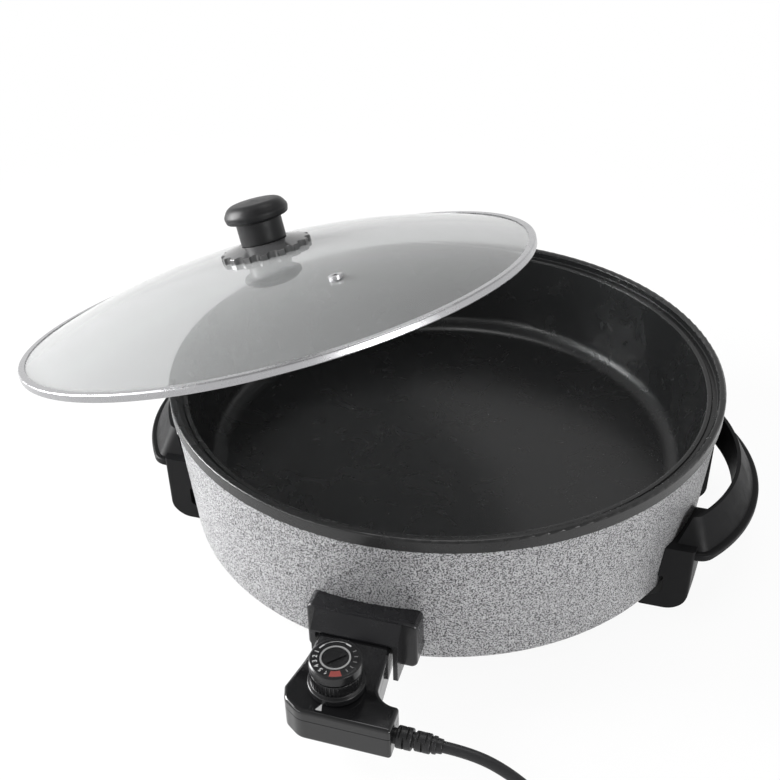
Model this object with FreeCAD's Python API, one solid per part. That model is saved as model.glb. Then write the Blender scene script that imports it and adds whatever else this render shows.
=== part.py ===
"""Round electric skillet with a loose glass lid, two side handles that carry its feet,
and a plug-in thermostat controller on a mains cord.

Frame: millimetres, +Z up. The origin is on the pan's axis at the table. -Y is the side
of the controller's socket and the handles lie on +X and -X.
"""
import FreeCAD, Part
import math
import os

V = FreeCAD.Vector
UP = V(0, 0, 1)

# Rim of the pan
rim_outer_r = 199.5
rim_top_z = 120.0
rim_band_h = 9.0
rim_band_t = 1.2
rim_lip_w = 5.0
ledge_drop = 6.6
ledge_w = 7.5
bead_h = 0.8
bead_inset = 3.6
edge_round = 1.5

# Cooking pan inside the rim
pan_depth = 76.0
pan_wall_lean = 9.0
pan_t = 2.5
floor_corner_r = 14.0

# Outer shell of hammered sheet
shell_t = 1.0
shell_taper = 7.6
shell_base_z = 12.0
shell_corner_r = 5.0
shell_fit = 0.2

# Heating parts under the cooking floor
heat_plate_r = 150.0
heat_plate_t = 3.0
element_ring_r = 100.0
element_r = 3.5
pin_r = 2.5
pin_spread = 13.0
pin_reach = 21.5
insulator_r = 5.5
probe_r = 3.0
probe_length = 84.0
probe_tube_r = 4.5
probe_end_gap = 3.0
probe_end_t = 4.0
probe_fit = 0.1
stud_r = 2.5
stud_gap = 3.5
nut_across = 8.0
nut_h = 4.0
washer_t = 1.0
washer_r = 6.0

# Handles: a dished grip that falls from a ridge to a lip, on two legs
handle_reach = 32.8
grip_lip_r = 128.6
grip_lip_low_z = 44.0
grip_lip_h = 6.0
grip_lip_w = 3.4
grip_lip_round = 1.9
grip_half_y = 84.0
grip_corner_r = 13.0
grip_width = 18.1
grip_ridge_w = 2.6
grip_ridge_z = 70.5
grip_ridge_inset_y = 13.0
grip_ridge_corner_r = 12.0
finger_gap_half_y = 60.0
finger_gap_corner_r = 9.0
saddle_z = 53.0
grip_inner_wall = 3.2
grip_outer_wall = 3.6
channel_top_z = 57.0
leg_proud = 0.7
leg_face_r = 520.0
leg_first_y = 37.0
leg_last_y = 86.0
leg_corner_r = 15.0
leg_toe_w = 31.0
leg_toe_h = 6.5
leg_toe_rise = 8.0
leg_gap = 5.0
leg_gap_top_z = 28.0
leg_edge_r = 2.5
wall_fit = 0.05
handle_screw_y = 62.0
handle_screw_z = 41.0
screw_r = 2.4
screw_head_r = 4.6
screw_head_h = 3.0
screw_bite = 9.0
screw_fit = 0.2
bracket_w = 16.0
bracket_t = 3.0

# Socket guard on the shell
guard_half_w = 36.0
guard_low_z = 22.0
guard_top_z = 59.0
guard_proud = 14.5
guard_corner_r = 4.5
guard_edge_r = 2.2
hood_depth = 10.5
hood_low_z = 18.5
hood_wall = 3.0
hood_lip = 1.2
socket_x = -1.5
socket_z = 34.0
socket_depth = 7.0
window_half_w = 21.0
window_half_h = 9.0
guard_screw_x = 30.0
guard_screw_z = 39.0
guard_screw_r = 2.0
guard_screw_depth = 8.0

# Controller housing
nose_w = 45.0
nose_gap = 5.5
nose_fit_side = 2.5
nose_fit_top = 0.7
body_low_z = 23.0
body_top_z = 46.9
seam_z = 39.5
seam_gap = 0.4
body_length = 72.0
flare_w = 5.5
flare_from_nose = 28.5
flare_length = 27.5
flare_r = 100.0
cheek_w = 3.0
cheek_length = 9.0
cheek_r = 8.0
front_left_w = 13.5
front_left_r = 12.0
tail_end_x = 40.0
tail_w = 19.0
neck_spread = 4.0
tail_neck_r = 13.0
small_corner_r = 2.0
body_edge_r = 2.2
body_wall = 2.0
boss_r = 3.5
housing_screw_r = 1.5
housing_screw_head_r = 2.8
switch_w = 28.0
switch_d = 26.0
switch_h = 12.0
sleeve_wall = 1.4
sleeve_length = 16.0

# Dial
dial_x = 0.0
nose_to_dial = 47.0
dial_gap = 0.7
dial_h = 21.4
dial_skirt_r = 17.3
dial_skirt_h = 3.9
dial_grip_r = 15.3
dial_drum_r = 15.7
dial_drum_h = 7.1
dial_groove_h = 1.3
dial_groove_t = 0.9
dial_face_r = 9.2
dial_recess = 0.8
dial_ring_w = 1.0
dial_cap_fit = 0.1
dial_bar_w = 3.2
dial_bar_h = 1.1
flute_count = 40
flute_r = 0.8
spindle_r = 3.0
spindle_fit = 0.08

# Lid, in its own frame: origin in the middle of the band, +Z along the knob
lid_r = 193.5
lid_rise = 33.0
glass_t = 4.0
glass_edge_inset = 1.7
band_sheet = 0.8
band_lip_w = 5.0
band_under_w = 4.2
vent_radius = 108.0
vent_deg = -41.4
vent_hole_r = 3.0
vent_flange_r = 4.8
knob_flange_r = 33.5
knob_flange_h = 7.0
knob_flange_edge = 4.2
scallop_count = 16
scallop_r = 4.6
scallop_bite = 3.2
knob_stem_r = 16.8
knob_cap_r = 23.8
knob_height = 37.7
knob_cap_h = 14.0
knob_screw_r = 2.5
knob_insert_r = 4.5
knob_insert_h = 14.0
knob_washer_r = 11.0
knob_washer_t = 1.5

# Lid as held over the pan: centre of the band, lean and the way it leans
lid_shift_x = -128.0
lid_shift_y = 1.2
lid_held_gap = 37.3
lid_lean_deg = 18.3
lid_lean_towards_deg = 150.2

# Mains cord, 1.2 m of 6.8 mm lead with a round two-pin plug
cord_r = 3.4
relief_length = 28.5
relief_inside = 4.0
relief_neck_r = 4.6
relief_gap = 1.7
relief_block_l = 9.2
relief_block_r = 6.5
relief_second_r = 5.8
relief_ring_l = 2.4
relief_ring_r = 5.2
relief_notch_w = 1.2
relief_inset = 8.5
relief_z = 34.4
coil_pitch = 7.4
coil_outer_r = 46.0
coil_turns_per_layer = 2
floor_gap = 0.8
tail_rise = 4.5
tie_w = 9.0
tie_t = 0.7
plug_axis_z = 18.6
plug_face_r = 18.2
plug_body_l = 34.0
plug_neck_r = 8.0
plug_neck_l = 22.0
plug_pin_r = 2.4
plug_pin_l = 19.0
plug_pin_spread = 9.5
plug_root_r = 1.9
plug_root_l = 12.0
plug_root_gap = 0.4
plug_pin_round = 1.0

# Places that follow from the sizes above, outwards from the shell to the cord
shell_top_r = rim_outer_r - rim_band_t - shell_fit
shell_base_r = shell_top_r - shell_taper
guard_face_y = shell_base_r + guard_proud
socket_back_y = guard_face_y - socket_depth
nose_tip_y = socket_back_y + nose_gap
dial_y = nose_tip_y + nose_to_dial
body_front_y = nose_tip_y + body_length
tail_back_y = body_front_y - tail_w
relief_y = body_front_y - relief_inset
cord_floor_z = cord_r + floor_gap
relief_x = tail_end_x + relief_length
relief_end = V(relief_x, -relief_y, relief_z)

# The cord's route by hand, from the strain relief down to the table and to its coil
cord_drop = relief_z - cord_floor_z
cord_route = [
    relief_end,
    relief_end + V(17.5, 0, 0),
    relief_end + V(38.5, -1.6, -6.8),
    relief_end + V(58.5, -6.2, -17.8),
    relief_end + V(78.5, -13.4, -27.0),
    relief_end + V(99.5, -20.5, -cord_drop),
    relief_end + V(120.5, -24.0, -cord_drop),
]

# Levels and radii that follow from the sizes above
lip_inner_r = rim_outer_r - rim_lip_w
ledge_z = rim_top_z - ledge_drop
pan_top_r = lip_inner_r - ledge_w
pan_floor_z = rim_top_z - pan_depth
pan_floor_r = pan_top_r - pan_wall_lean
floor_under_z = pan_floor_z - pan_t
band_low_z = rim_top_z - rim_band_h
shell_groove = 1.6
shell_top_z = band_low_z + shell_groove - shell_fit
plate_under_z = floor_under_z - heat_plate_t
stud_circle_r = heat_plate_r + stud_r + stud_gap
grip_centre_x = rim_outer_r + handle_reach - grip_lip_r
leg_centre_x = rim_outer_r + leg_proud - leg_face_r
lid_centre = V(lid_shift_x, lid_shift_y, rim_top_z + lid_held_gap)


def shell_r(z):
    """Outer radius of the tapered shell at height z."""
    share = (z - shell_base_z) / (shell_top_z - shell_base_z)
    return shell_base_r + share * shell_taper


def in_plan(a, b):
    return V(a, b, 0)


def in_section(a, b):
    return V(a, 0, b)


def rounded_face(corners, place):
    """Face inside straight edges whose corners (a, b, radius) are rounded by tangent arcs."""
    points = [place(c[0], c[1]) for c in corners]
    count = len(points)
    arcs = []
    for i in range(count):
        here = points[i]
        radius = corners[i][2] if len(corners[i]) > 2 else 0.0
        if radius <= 0:
            arcs.append((here, None, here))
            continue
        back = (points[i - 1] - here).normalize()
        ahead = (points[(i + 1) % count] - here).normalize()
        half = back.getAngle(ahead) / 2
        middle = (back + ahead).normalize()
        reach = radius / math.tan(half)
        centre = here + middle * (radius / math.sin(half))
        arcs.append((here + back * reach, centre - middle * radius, here + ahead * reach))
    edges = []
    for i in range(count):
        start, crown, end = arcs[i]
        if crown is not None:
            edges.append(Part.Arc(start, crown, end).toShape())
        following = arcs[(i + 1) % count][0]
        if (following - end).Length > 1e-6:
            edges.append(Part.LineSegment(end, following).toShape())
    return Part.Face(Part.Wire(edges))


def turned_about(face, centre, axis, degrees=360.0):
    return face.revolve(centre, axis, degrees)


def spun(corners):
    """Solid of revolution about the pan's axis from corners (r, z, radius)."""
    return turned_about(rounded_face(corners, in_section), V(0, 0, 0), UP)


def box(low, high):
    size = high - low
    return Part.makeBox(size.x, size.y, size.z, low)


def rod(radius, start, end):
    return Part.makeCylinder(radius, (end - start).Length, start, end - start)


def pipe(outer, inner, start, end):
    return rod(outer, start, end).cut(rod(inner, start, end))


def at_angle(shape, degrees):
    """Copy of a shape made on +X, turned round the pan's axis."""
    copy = shape.copy()
    copy.rotate(V(0, 0, 0), UP, degrees)
    return copy


def group(shapes):
    return Part.makeCompound(shapes)


def save(name, shape):
    shape.exportStep("parts/" + name + ".step")


def shell_cone(offset):
    """Solid bounded by the shell's outer face moved outwards by offset, over its whole height."""
    low = shell_base_z - 1.5 * shell_t
    corners = [
        (0, low),
        (shell_r(low) + offset, low),
        (shell_r(rim_top_z) + offset, rim_top_z),
        (0, rim_top_z),
    ]
    return spun(corners)


def make_inner_pan():
    corners = [
        (rim_outer_r, band_low_z),
        (rim_outer_r, rim_top_z, edge_round),
        (lip_inner_r, rim_top_z, edge_round),
        (lip_inner_r, ledge_z, edge_round / 2),
        (lip_inner_r - bead_inset, ledge_z),
        (lip_inner_r - bead_inset - bead_h, ledge_z + bead_h),
        (pan_top_r, ledge_z + bead_h, edge_round),
        (pan_floor_r, pan_floor_z, floor_corner_r),
        (0, pan_floor_z),
        (0, floor_under_z),
        (pan_floor_r + pan_t, floor_under_z, floor_corner_r + pan_t),
        (pan_top_r + pan_t, band_low_z),
        (shell_top_r - shell_t - shell_fit, band_low_z),
        (shell_top_r - shell_t - shell_fit, band_low_z + shell_groove),
        (shell_top_r + shell_fit, band_low_z + shell_groove),
        (shell_top_r + shell_fit, band_low_z),
    ]
    return spun(corners)


def socket_window(depth_from, depth_to, half_w, half_h):
    low = V(socket_x - half_w, -depth_to, socket_z - half_h)
    high = V(socket_x + half_w, -depth_from, socket_z + half_h)
    return box(low, high)


def handle_screw_deg():
    return math.degrees(math.asin(handle_screw_y / shell_r(handle_screw_z)))


def handle_screw_angles():
    """Angles of the four handle screws round the pan."""
    return [side + turn * handle_screw_deg() for side in (0, 180) for turn in (-1, 1)]


def stud_angles():
    return [90, 210, 330]


def make_outer_shell():
    corners = [
        (shell_top_r, shell_top_z),
        (shell_base_r, shell_base_z, shell_corner_r),
        (0, shell_base_z),
        (0, shell_base_z + shell_t),
        (shell_r(shell_base_z + shell_t) - shell_t, shell_base_z + shell_t, shell_corner_r - shell_t),
        (shell_top_r - shell_t, shell_top_z),
    ]
    shell = spun(corners)
    window = socket_window(shell_base_r - 2 * shell_corner_r, shell_top_r, window_half_w, window_half_h)
    holes = [window]
    for angle in handle_screw_angles():
        start = V(shell_base_r - shell_corner_r, 0, handle_screw_z)
        end = V(shell_top_r, 0, handle_screw_z)
        holes.append(at_angle(rod(screw_r + screw_fit, start, end), angle))
    for side in (-1, 1):
        start = V(side * guard_screw_x, -shell_base_r + 2 * shell_corner_r, guard_screw_z)
        end = V(side * guard_screw_x, -shell_top_r, guard_screw_z)
        holes.append(rod(guard_screw_r + screw_fit, start, end))
    for angle in stud_angles():
        start = V(stud_circle_r, 0, shell_base_z - shell_t)
        end = V(stud_circle_r, 0, shell_base_z + 2 * shell_t)
        holes.append(at_angle(rod(stud_r + screw_fit, start, end), angle))
    return shell.cut(group(holes))


def make_heat_plate():
    return Part.makeCylinder(heat_plate_r, heat_plate_t, V(0, 0, plate_under_z))


element_z = plate_under_z - element_r
element_end_y = shell_base_r - 4.0


def element_lead(x):
    """Straight cold end of the element from its ring out to a terminal pin."""
    ring_y = math.sqrt(element_ring_r ** 2 - x ** 2)
    drop = element_z - socket_z
    bend_y = element_end_y - 3 * element_r
    start = V(x, -ring_y, element_z)
    bend = V(x, -bend_y, element_z - drop)
    lead = rod(element_r, start, bend)
    lead = lead.fuse(Part.makeSphere(element_r, start))
    lead = lead.fuse(Part.makeSphere(element_r, bend))
    return lead.fuse(rod(element_r, bend, V(x, -element_end_y, socket_z)))


def make_heating_element():
    left = socket_x - pin_spread
    right = socket_x + pin_spread
    first = math.degrees(math.atan2(-math.sqrt(element_ring_r ** 2 - right ** 2), right))
    last = math.degrees(math.atan2(-math.sqrt(element_ring_r ** 2 - left ** 2), left)) + 360
    tube = rounded_circle_face(element_r)
    ring = tube.revolve(V(0, 0, 0), UP, last - first)
    ring.rotate(V(0, 0, 0), UP, first)
    return ring.fuse([element_lead(left), element_lead(right)]).removeSplitter()


def rounded_circle_face(radius):
    edge = Part.makeCircle(radius, V(element_ring_r, 0, element_z), V(0, 1, 0))
    return Part.Face(Part.Wire([edge]))


def terminal_xs():
    return [socket_x - pin_spread, socket_x + pin_spread]


pin_end_y = socket_back_y + pin_reach - 6.0


def make_terminal_pins():
    pins = []
    for x in terminal_xs():
        pins.append(rod(pin_r, V(x, -element_end_y, socket_z), V(x, -pin_end_y, socket_z)))
    return group(pins)


insulator_start_y = element_end_y + 0.5
insulator_end_y = socket_back_y + 1.5


def make_pin_insulators():
    start = -insulator_start_y
    end = -insulator_end_y
    beads = []
    for x in terminal_xs():
        beads.append(pipe(insulator_r, pin_r, V(x, start, socket_z), V(x, end, socket_z)))
    return group(beads)


probe_tip_y = nose_tip_y - probe_length


def make_probe_tube():
    """Closed pocket under the plate that takes the controller's probe."""
    mouth = V(socket_x, -socket_back_y, socket_z)
    closed = rod(probe_tube_r, mouth, V(socket_x, -probe_tip_y + probe_end_gap + probe_end_t, socket_z))
    bore = rod(probe_r + probe_fit, mouth, V(socket_x, -probe_tip_y + probe_end_gap, socket_z))
    return closed.cut(bore)


def make_studs():
    studs = []
    for angle in stud_angles():
        start = V(stud_circle_r, 0, shell_base_z - washer_t - nut_h - 1.0)
        studs.append(at_angle(rod(stud_r, start, V(stud_circle_r, 0, floor_under_z)), angle))
    return group(studs)


def make_stud_washers():
    rings = []
    for angle in stud_angles():
        top = V(stud_circle_r, 0, shell_base_z)
        low = V(stud_circle_r, 0, shell_base_z - washer_t)
        rings.append(at_angle(pipe(washer_r, stud_r, low, top), angle))
    return group(rings)


def hexagon(across, height, base):
    radius = across / math.sqrt(3)
    corners = []
    for i in range(7):
        turn = math.radians(60 * i)
        corners.append(base + V(radius * math.cos(turn), radius * math.sin(turn), 0))
    return Part.Face(Part.makePolygon(corners)).extrude(V(0, 0, height))


def make_stud_nuts():
    nuts = []
    for angle in stud_angles():
        base = V(stud_circle_r, 0, shell_base_z - washer_t - nut_h)
        nut = hexagon(nut_across, nut_h, base)
        nuts.append(at_angle(nut.cut(rod(stud_r, base, base + V(0, 0, nut_h))), angle))
    return group(nuts)


def plan_outline(centre_x, radius, half_y, corner_r, z):
    """Plan at one level: square inside the shell, one large arc outside, rounded corners."""
    bend_y = half_y - corner_r
    bend_x = centre_x + math.sqrt((radius - corner_r) ** 2 - bend_y ** 2)
    outward = V(bend_x - centre_x, -bend_y, 0).normalize()
    touch = V(bend_x, -half_y, z)
    crown = V(bend_x, -bend_y, z) + (outward + V(0, -1, 0)).normalize() * corner_r
    end = V(centre_x, 0, z) + outward * radius
    inside = V(shell_base_r / 2, -half_y, z)

    def other(point):
        return V(point.x, -point.y, point.z)

    return Part.Wire([
        Part.LineSegment(other(inside), inside).toShape(),
        Part.LineSegment(inside, touch).toShape(),
        Part.Arc(touch, crown, end).toShape(),
        Part.Arc(end, V(centre_x + radius, 0, z), other(end)).toShape(),
        Part.Arc(other(end), other(crown), other(touch)).toShape(),
        Part.LineSegment(other(touch), other(inside)).toShape(),
    ])


def grip_outline(radius, half_y, corner_r, z):
    return plan_outline(grip_centre_x, radius, half_y, corner_r, z)


def grip_slab(radius, half_y, corner_r, low_z, high_z):
    face = Part.Face(grip_outline(radius, half_y, corner_r, low_z))
    return face.extrude(V(0, 0, high_z - low_z))


def make_grip():
    """Lip, dish and ridge of one grip, with its finger gap, saddles and hollow underside."""
    lip_top_z = grip_lip_low_z + grip_lip_h
    lip = grip_slab(grip_lip_r, grip_half_y, grip_corner_r, grip_lip_low_z, lip_top_z)
    round_edges = edges_at(lip, grip_lip_low_z) + edges_at(lip, lip_top_z)
    lip = lip.makeFillet(grip_lip_round, round_edges)
    foot_z = lip_top_z - grip_lip_round / 2
    foot = grip_outline(grip_lip_r - grip_lip_w, grip_half_y - grip_lip_w, grip_corner_r - grip_lip_w, foot_z)
    ridge_r = grip_lip_r - grip_width
    ridge = grip_outline(
        ridge_r + grip_ridge_w,
        grip_half_y - grip_ridge_inset_y,
        grip_ridge_corner_r,
        grip_ridge_z,
    )
    dish = Part.makeLoft([foot, ridge], True, True)
    grip = lip.fuse(dish)
    gap = grip_slab(ridge_r, finger_gap_half_y, finger_gap_corner_r, 0, rim_top_z)
    saddle = grip_slab(ridge_r, grip_half_y + 1, small_corner_r, saddle_z, rim_top_z)
    grip = grip.cut([gap, saddle])
    return grip.cut(grip_channel(ridge_r))


def grip_channel(ridge_r):
    """Hollow under the dish, between the ridge's wall and the sloping wall."""
    inner = ridge_r + grip_inner_wall
    outer = grip_lip_r - grip_lip_w - grip_outer_wall
    low = grip_lip_low_z - 2
    corners = [
        (grip_centre_x + inner, low),
        (grip_centre_x + outer, low),
        (grip_centre_x + outer, grip_lip_low_z + 3.0, 1.5),
        (grip_centre_x + inner + 2.4, channel_top_z, 1.0),
        (grip_centre_x + inner, channel_top_z, 0.8),
    ]
    sweep = math.degrees(math.asin((finger_gap_half_y - finger_gap_corner_r) / outer))
    channel = turned_about(rounded_face(corners, in_section), V(grip_centre_x, 0, 0), UP, 2 * sweep)
    channel.rotate(V(grip_centre_x, 0, 0), UP, -sweep)
    return channel


def make_legs():
    """Two legs under the grip's ends, with toes under the pan that it stands on."""
    centre = V(leg_centre_x, 0, 0)
    toe_r = leg_face_r - leg_toe_w
    corners = [
        (toe_r, 0, 1.0),
        (leg_face_r, 0, leg_corner_r),
        (leg_face_r, saddle_z),
        (toe_r, saddle_z),
    ]
    section = rounded_face(corners, lambda a, b: centre + V(a, 0, b))
    sweep = math.degrees(math.asin(leg_last_y / toe_r)) + 2
    slab = turned_about(section, centre, UP, 2 * sweep)
    slab.rotate(centre, UP, -sweep)
    plan = Part.Face(plan_outline(leg_centre_x, leg_face_r, leg_last_y, leg_edge_r, 0))
    legs = slab.common(plan.extrude(V(0, 0, saddle_z)))
    middle = box(V(0, -leg_first_y, -1), V(rim_outer_r + handle_reach, leg_first_y, rim_top_z))
    return legs.cut([middle, leg_gap_ring()])


def make_handle_right():
    """Grip and both legs, moulded in one, with blind holes for screws from inside the shell."""
    handle = make_grip().fuse(make_legs())
    handle = handle.cut(shell_cone(wall_fit))
    return handle.cut(handle_screw_holes()).removeSplitter()


def leg_gap_ring():
    """Room round the shell's base, between it and the legs and over their toes."""
    gap_r = shell_base_r + leg_gap
    within_r = shell_base_r / 2
    return spun([
        (within_r, leg_toe_h),
        (shell_base_r - shell_corner_r, leg_toe_h, 1.5),
        (gap_r, leg_toe_h + leg_toe_rise, 1.0),
        (gap_r, leg_gap_top_z, 1.5),
        (within_r, leg_gap_top_z),
    ])


def handle_screw_holes():
    """Blind holes in the legs for the screws that come through the shell."""
    holes = []
    start = V(shell_base_r - shell_corner_r, 0, handle_screw_z)
    end = V(shell_r(handle_screw_z) + screw_bite + screw_fit, 0, handle_screw_z)
    for turn in (-1, 1):
        holes.append(at_angle(rod(screw_r, start, end), turn * handle_screw_deg()))
    return holes


def make_handle_screws():
    """Screws from inside the shell, through their plates and the wall into the legs."""
    screws = []
    wall_r = shell_r(handle_screw_z)
    seat_x = wall_r - shell_t - bracket_t
    for angle in handle_screw_angles():
        shank = rod(screw_r, V(seat_x, 0, handle_screw_z), V(wall_r + screw_bite, 0, handle_screw_z))
        top = V(seat_x - screw_head_h, 0, handle_screw_z)
        head = rod(screw_head_r, top, V(seat_x, 0, handle_screw_z))
        slot = box(top + V(-0.2, -screw_head_r, -0.5), top + V(1.2, screw_head_r, 0.5))
        screws.append(at_angle(shank.fuse(head).cut(slot), angle))
    return group(screws)


def make_handle_brackets():
    """Load plates behind the shell wall, one for each handle screw."""
    plates = []
    inside = shell_cone(-shell_t)
    face_x = shell_r(handle_screw_z) - shell_t
    for angle in handle_screw_angles():
        low = V(face_x - bracket_t, -bracket_w / 2, handle_screw_z - bracket_w / 2)
        high = V(face_x + bracket_t, bracket_w / 2, handle_screw_z + bracket_w / 2)
        plate = box(low, high).common(inside)
        bore = rod(screw_r, low + V(-1, bracket_w / 2, bracket_w / 2), V(high.x, 0, handle_screw_z))
        plates.append(at_angle(plate.cut(bore), angle))
    return group(plates)


nose_left_x = socket_x - nose_w / 2
nose_right_x = socket_x + nose_w / 2
cavity_top_z = body_top_z + nose_fit_top
cavity_low_z = body_low_z - nose_fit_top
hood_left_x = nose_left_x - nose_fit_side - hood_wall
hood_right_x = nose_right_x + nose_fit_side + hood_wall
hood_front_y = guard_face_y + hood_depth


def make_socket_guard():
    """Moulded frame round the socket, with a sloping hood over the controller's nose."""
    plate_corners = [
        (-guard_half_w, guard_low_z, guard_corner_r),
        (guard_half_w, guard_low_z, guard_corner_r),
        (guard_half_w, guard_top_z, guard_corner_r),
        (-guard_half_w, guard_top_z, guard_corner_r),
    ]
    behind_y = shell_base_r - shell_corner_r
    plate = rounded_face(plate_corners, lambda a, b: V(a, -guard_face_y, b))
    block = plate.extrude(V(0, guard_face_y - behind_y, 0))
    front = [e for e in block.Edges if e.BoundBox.YMax < -guard_face_y + 1e-4]
    block = block.makeFillet(guard_edge_r, front)
    hood_back = guard_proud - 1
    hood_corners = [
        (guard_face_y + 1, guard_top_z - 0.6, 0.8),
        (hood_front_y, cavity_top_z + hood_lip, 0.5),
        (hood_front_y, hood_low_z, 1.5),
        (guard_face_y - hood_back, hood_low_z),
        (guard_face_y - hood_back, guard_top_z - 0.6),
    ]
    side = rounded_face(hood_corners, lambda a, b: V(hood_left_x, -a, b))
    block = block.fuse(side.extrude(V(hood_right_x - hood_left_x, 0, 0)))
    cavity_low = V(nose_left_x - nose_fit_side, -hood_front_y - 1, cavity_low_z)
    cavity_high = V(nose_right_x + nose_fit_side, -socket_back_y, cavity_top_z)
    block = block.cut(box(cavity_low, cavity_high))
    under_low = V(cavity_low.x, -hood_front_y - 1, hood_low_z - 1)
    under_high = V(cavity_high.x, -guard_face_y + guard_proud, cavity_low_z + 1)
    block = block.cut(box(under_low, under_high))
    block = block.cut(shell_cone(shell_fit / 4))
    holes = [rod(probe_tube_r, V(socket_x, -behind_y, socket_z), V(socket_x, -guard_face_y, socket_z))]
    for x in terminal_xs():
        holes.append(rod(insulator_r, V(x, -behind_y, socket_z), V(x, -guard_face_y, socket_z)))
    for side in (-1, 1):
        start = V(side * guard_screw_x, -behind_y, guard_screw_z)
        holes.append(rod(guard_screw_r, start, V(side * guard_screw_x, -guard_screw_end_y, guard_screw_z)))
    return block.cut(group(holes)).removeSplitter()


guard_screw_end_y = shell_base_r + guard_screw_depth


def make_guard_screws():
    """Screws from inside the shell into the guard's flange."""
    inside = shell_cone(-shell_t)
    screws = []
    for side in (-1, 1):
        x = side * guard_screw_x
        wall_y = math.sqrt(shell_r(guard_screw_z) ** 2 - x ** 2)
        head = rod(2 * guard_screw_r, V(x, -wall_y + 5.0, guard_screw_z), V(x, -wall_y, guard_screw_z))
        head = head.common(inside)
        shank = rod(guard_screw_r, V(x, -wall_y + 4.0, guard_screw_z), V(x, -guard_screw_end_y, guard_screw_z))
        screws.append(head.fuse(shank))
    return group(screws)


cheek_x = nose_left_x - flare_w
cheek_y = nose_tip_y + flare_from_nose + flare_length


def body_outline():
    """Plan of the controller: a nose for the socket and a tail for the cord."""
    return [
        (nose_left_x, -nose_tip_y, small_corner_r + 1),
        (nose_right_x, -nose_tip_y, small_corner_r + 1),
        (nose_right_x + neck_spread, -tail_back_y, tail_neck_r),
        (tail_end_x, -tail_back_y, small_corner_r),
        (tail_end_x, -body_front_y, small_corner_r),
        (cheek_x + front_left_w, -body_front_y, front_left_r),
        (cheek_x + cheek_w, -cheek_y - cheek_length, cheek_r),
        (cheek_x, -cheek_y, small_corner_r),
        (nose_left_x, -cheek_y + flare_length, flare_r),
    ]


def body_slab(low_z, high_z, inset=0.0):
    face = rounded_face(body_outline(), in_plan)
    if inset > 0:
        face = face.makeOffset2D(-inset)
    face.translate(V(0, 0, low_z))
    return face.extrude(V(0, 0, high_z - low_z))


def edges_at(shape, z):
    """Edges of a shape that lie flat at height z."""
    flat = []
    for edge in shape.Edges:
        box_of = edge.BoundBox
        if abs(box_of.ZMin - z) < 1e-4 and abs(box_of.ZMax - z) < 1e-4:
            flat.append(edge)
    return flat


def boss_places():
    front_y = -body_front_y + tail_w / 2
    return [
        (nose_left_x + 5.0, front_y + 1.5),
        (tail_end_x - 9.0, front_y + 3.5),
        (nose_left_x + 7.0, -nose_tip_y - 24.5),
    ]


def bosses(low_z, high_z, radius):
    shapes = []
    for x, y in boss_places():
        shapes.append(rod(radius, V(x, y, low_z), V(x, y, high_z)))
    return shapes


def nose_holes():
    """Openings in the nose's end wall for the pins and the probe."""
    holes = []
    start_y = -nose_tip_y + 1
    end_y = -nose_tip_y - body_wall - 0.5
    for x in terminal_xs():
        holes.append(rod(pin_r + 0.6, V(x, start_y, socket_z), V(x, end_y, socket_z)))
    holes.append(rod(probe_r, V(socket_x, start_y, socket_z), V(socket_x, end_y, socket_z)))
    return holes


lower_top_z = seam_z - seam_gap / 2
upper_low_z = seam_z + seam_gap / 2


def make_controller_lower_shell():
    tray = body_slab(body_low_z, lower_top_z)
    tray = tray.makeFillet(body_edge_r, edges_at(tray, body_low_z))
    tray = tray.cut(body_slab(body_low_z + body_wall, lower_top_z + 1, body_wall))
    tray = tray.fuse(bosses(body_low_z + body_wall / 2, lower_top_z, boss_r))
    screw_way = bosses(body_low_z - 1, lower_top_z + 1, housing_screw_r + 0.1)
    head_way = bosses(body_low_z - 1, body_low_z + housing_head_depth, housing_screw_head_r + 0.2)
    relief_way = rod(relief_neck_r, V(tail_end_x - relief_inside, -relief_y, relief_z), V(tail_end_x + 1, -relief_y, relief_z))
    return tray.cut(group(screw_way + head_way + nose_holes() + [relief_way])).removeSplitter()


housing_head_depth = 4.0
housing_screw_top_z = body_top_z - body_wall - 1.0


def make_controller_upper_shell():
    cover = body_slab(upper_low_z, body_top_z)
    cover = cover.makeFillet(body_edge_r, edges_at(cover, body_top_z))
    cover = cover.cut(body_slab(upper_low_z - 1, body_top_z - body_wall, body_wall))
    cover = cover.fuse(bosses(upper_low_z, body_top_z - body_wall / 2, boss_r))
    spindle_way = rod(spindle_r + spindle_fit, dial_point(seam_z - 1), dial_point(body_top_z + 1))
    screw_way = bosses(upper_low_z - 1, housing_screw_top_z, housing_screw_r)
    return cover.cut(group(screw_way + [spindle_way])).removeSplitter()


def dial_point(z):
    return V(dial_x, -dial_y, z)


def make_housing_screws():
    screws = []
    for x, y in boss_places():
        head_low = V(x, y, body_low_z + 1.6)
        head_top = V(x, y, body_low_z + housing_head_depth)
        head = rod(housing_screw_head_r, head_low, head_top)
        screws.append(head.fuse(rod(housing_screw_r, head_top, V(x, y, housing_screw_top_z))))
    return group(screws)


def make_thermostat_switch():
    centre = dial_point(body_low_z + body_wall)
    low = centre + V(-switch_w / 2 + 2, -switch_d / 2 + 2, 0)
    block = box(low, low + V(switch_w, switch_d, switch_h))
    block = block.makeChamfer(1.0, edges_at(block, low.z + switch_h))
    return block.cut(rod(spindle_r + spindle_fit, centre + V(0, 0, 3), centre + V(0, 0, switch_h + 1)))


def make_probe_rod():
    start = V(socket_x, -nose_tip_y - 16, socket_z)
    end = V(socket_x, -probe_tip_y, socket_z)
    stem = rod(probe_r, start, end)
    return stem.makeFillet(probe_r * 0.8, [stem.Edges[edge_at_end(stem, end)]])


def edge_at_end(shape, point):
    """Index of the closed edge nearest to a point."""
    distances = []
    for edge in shape.Edges:
        closed = len(edge.Vertexes) == 1
        distances.append((edge.CenterOfMass - point).Length if closed else 1e9)
    return distances.index(min(distances))


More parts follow.
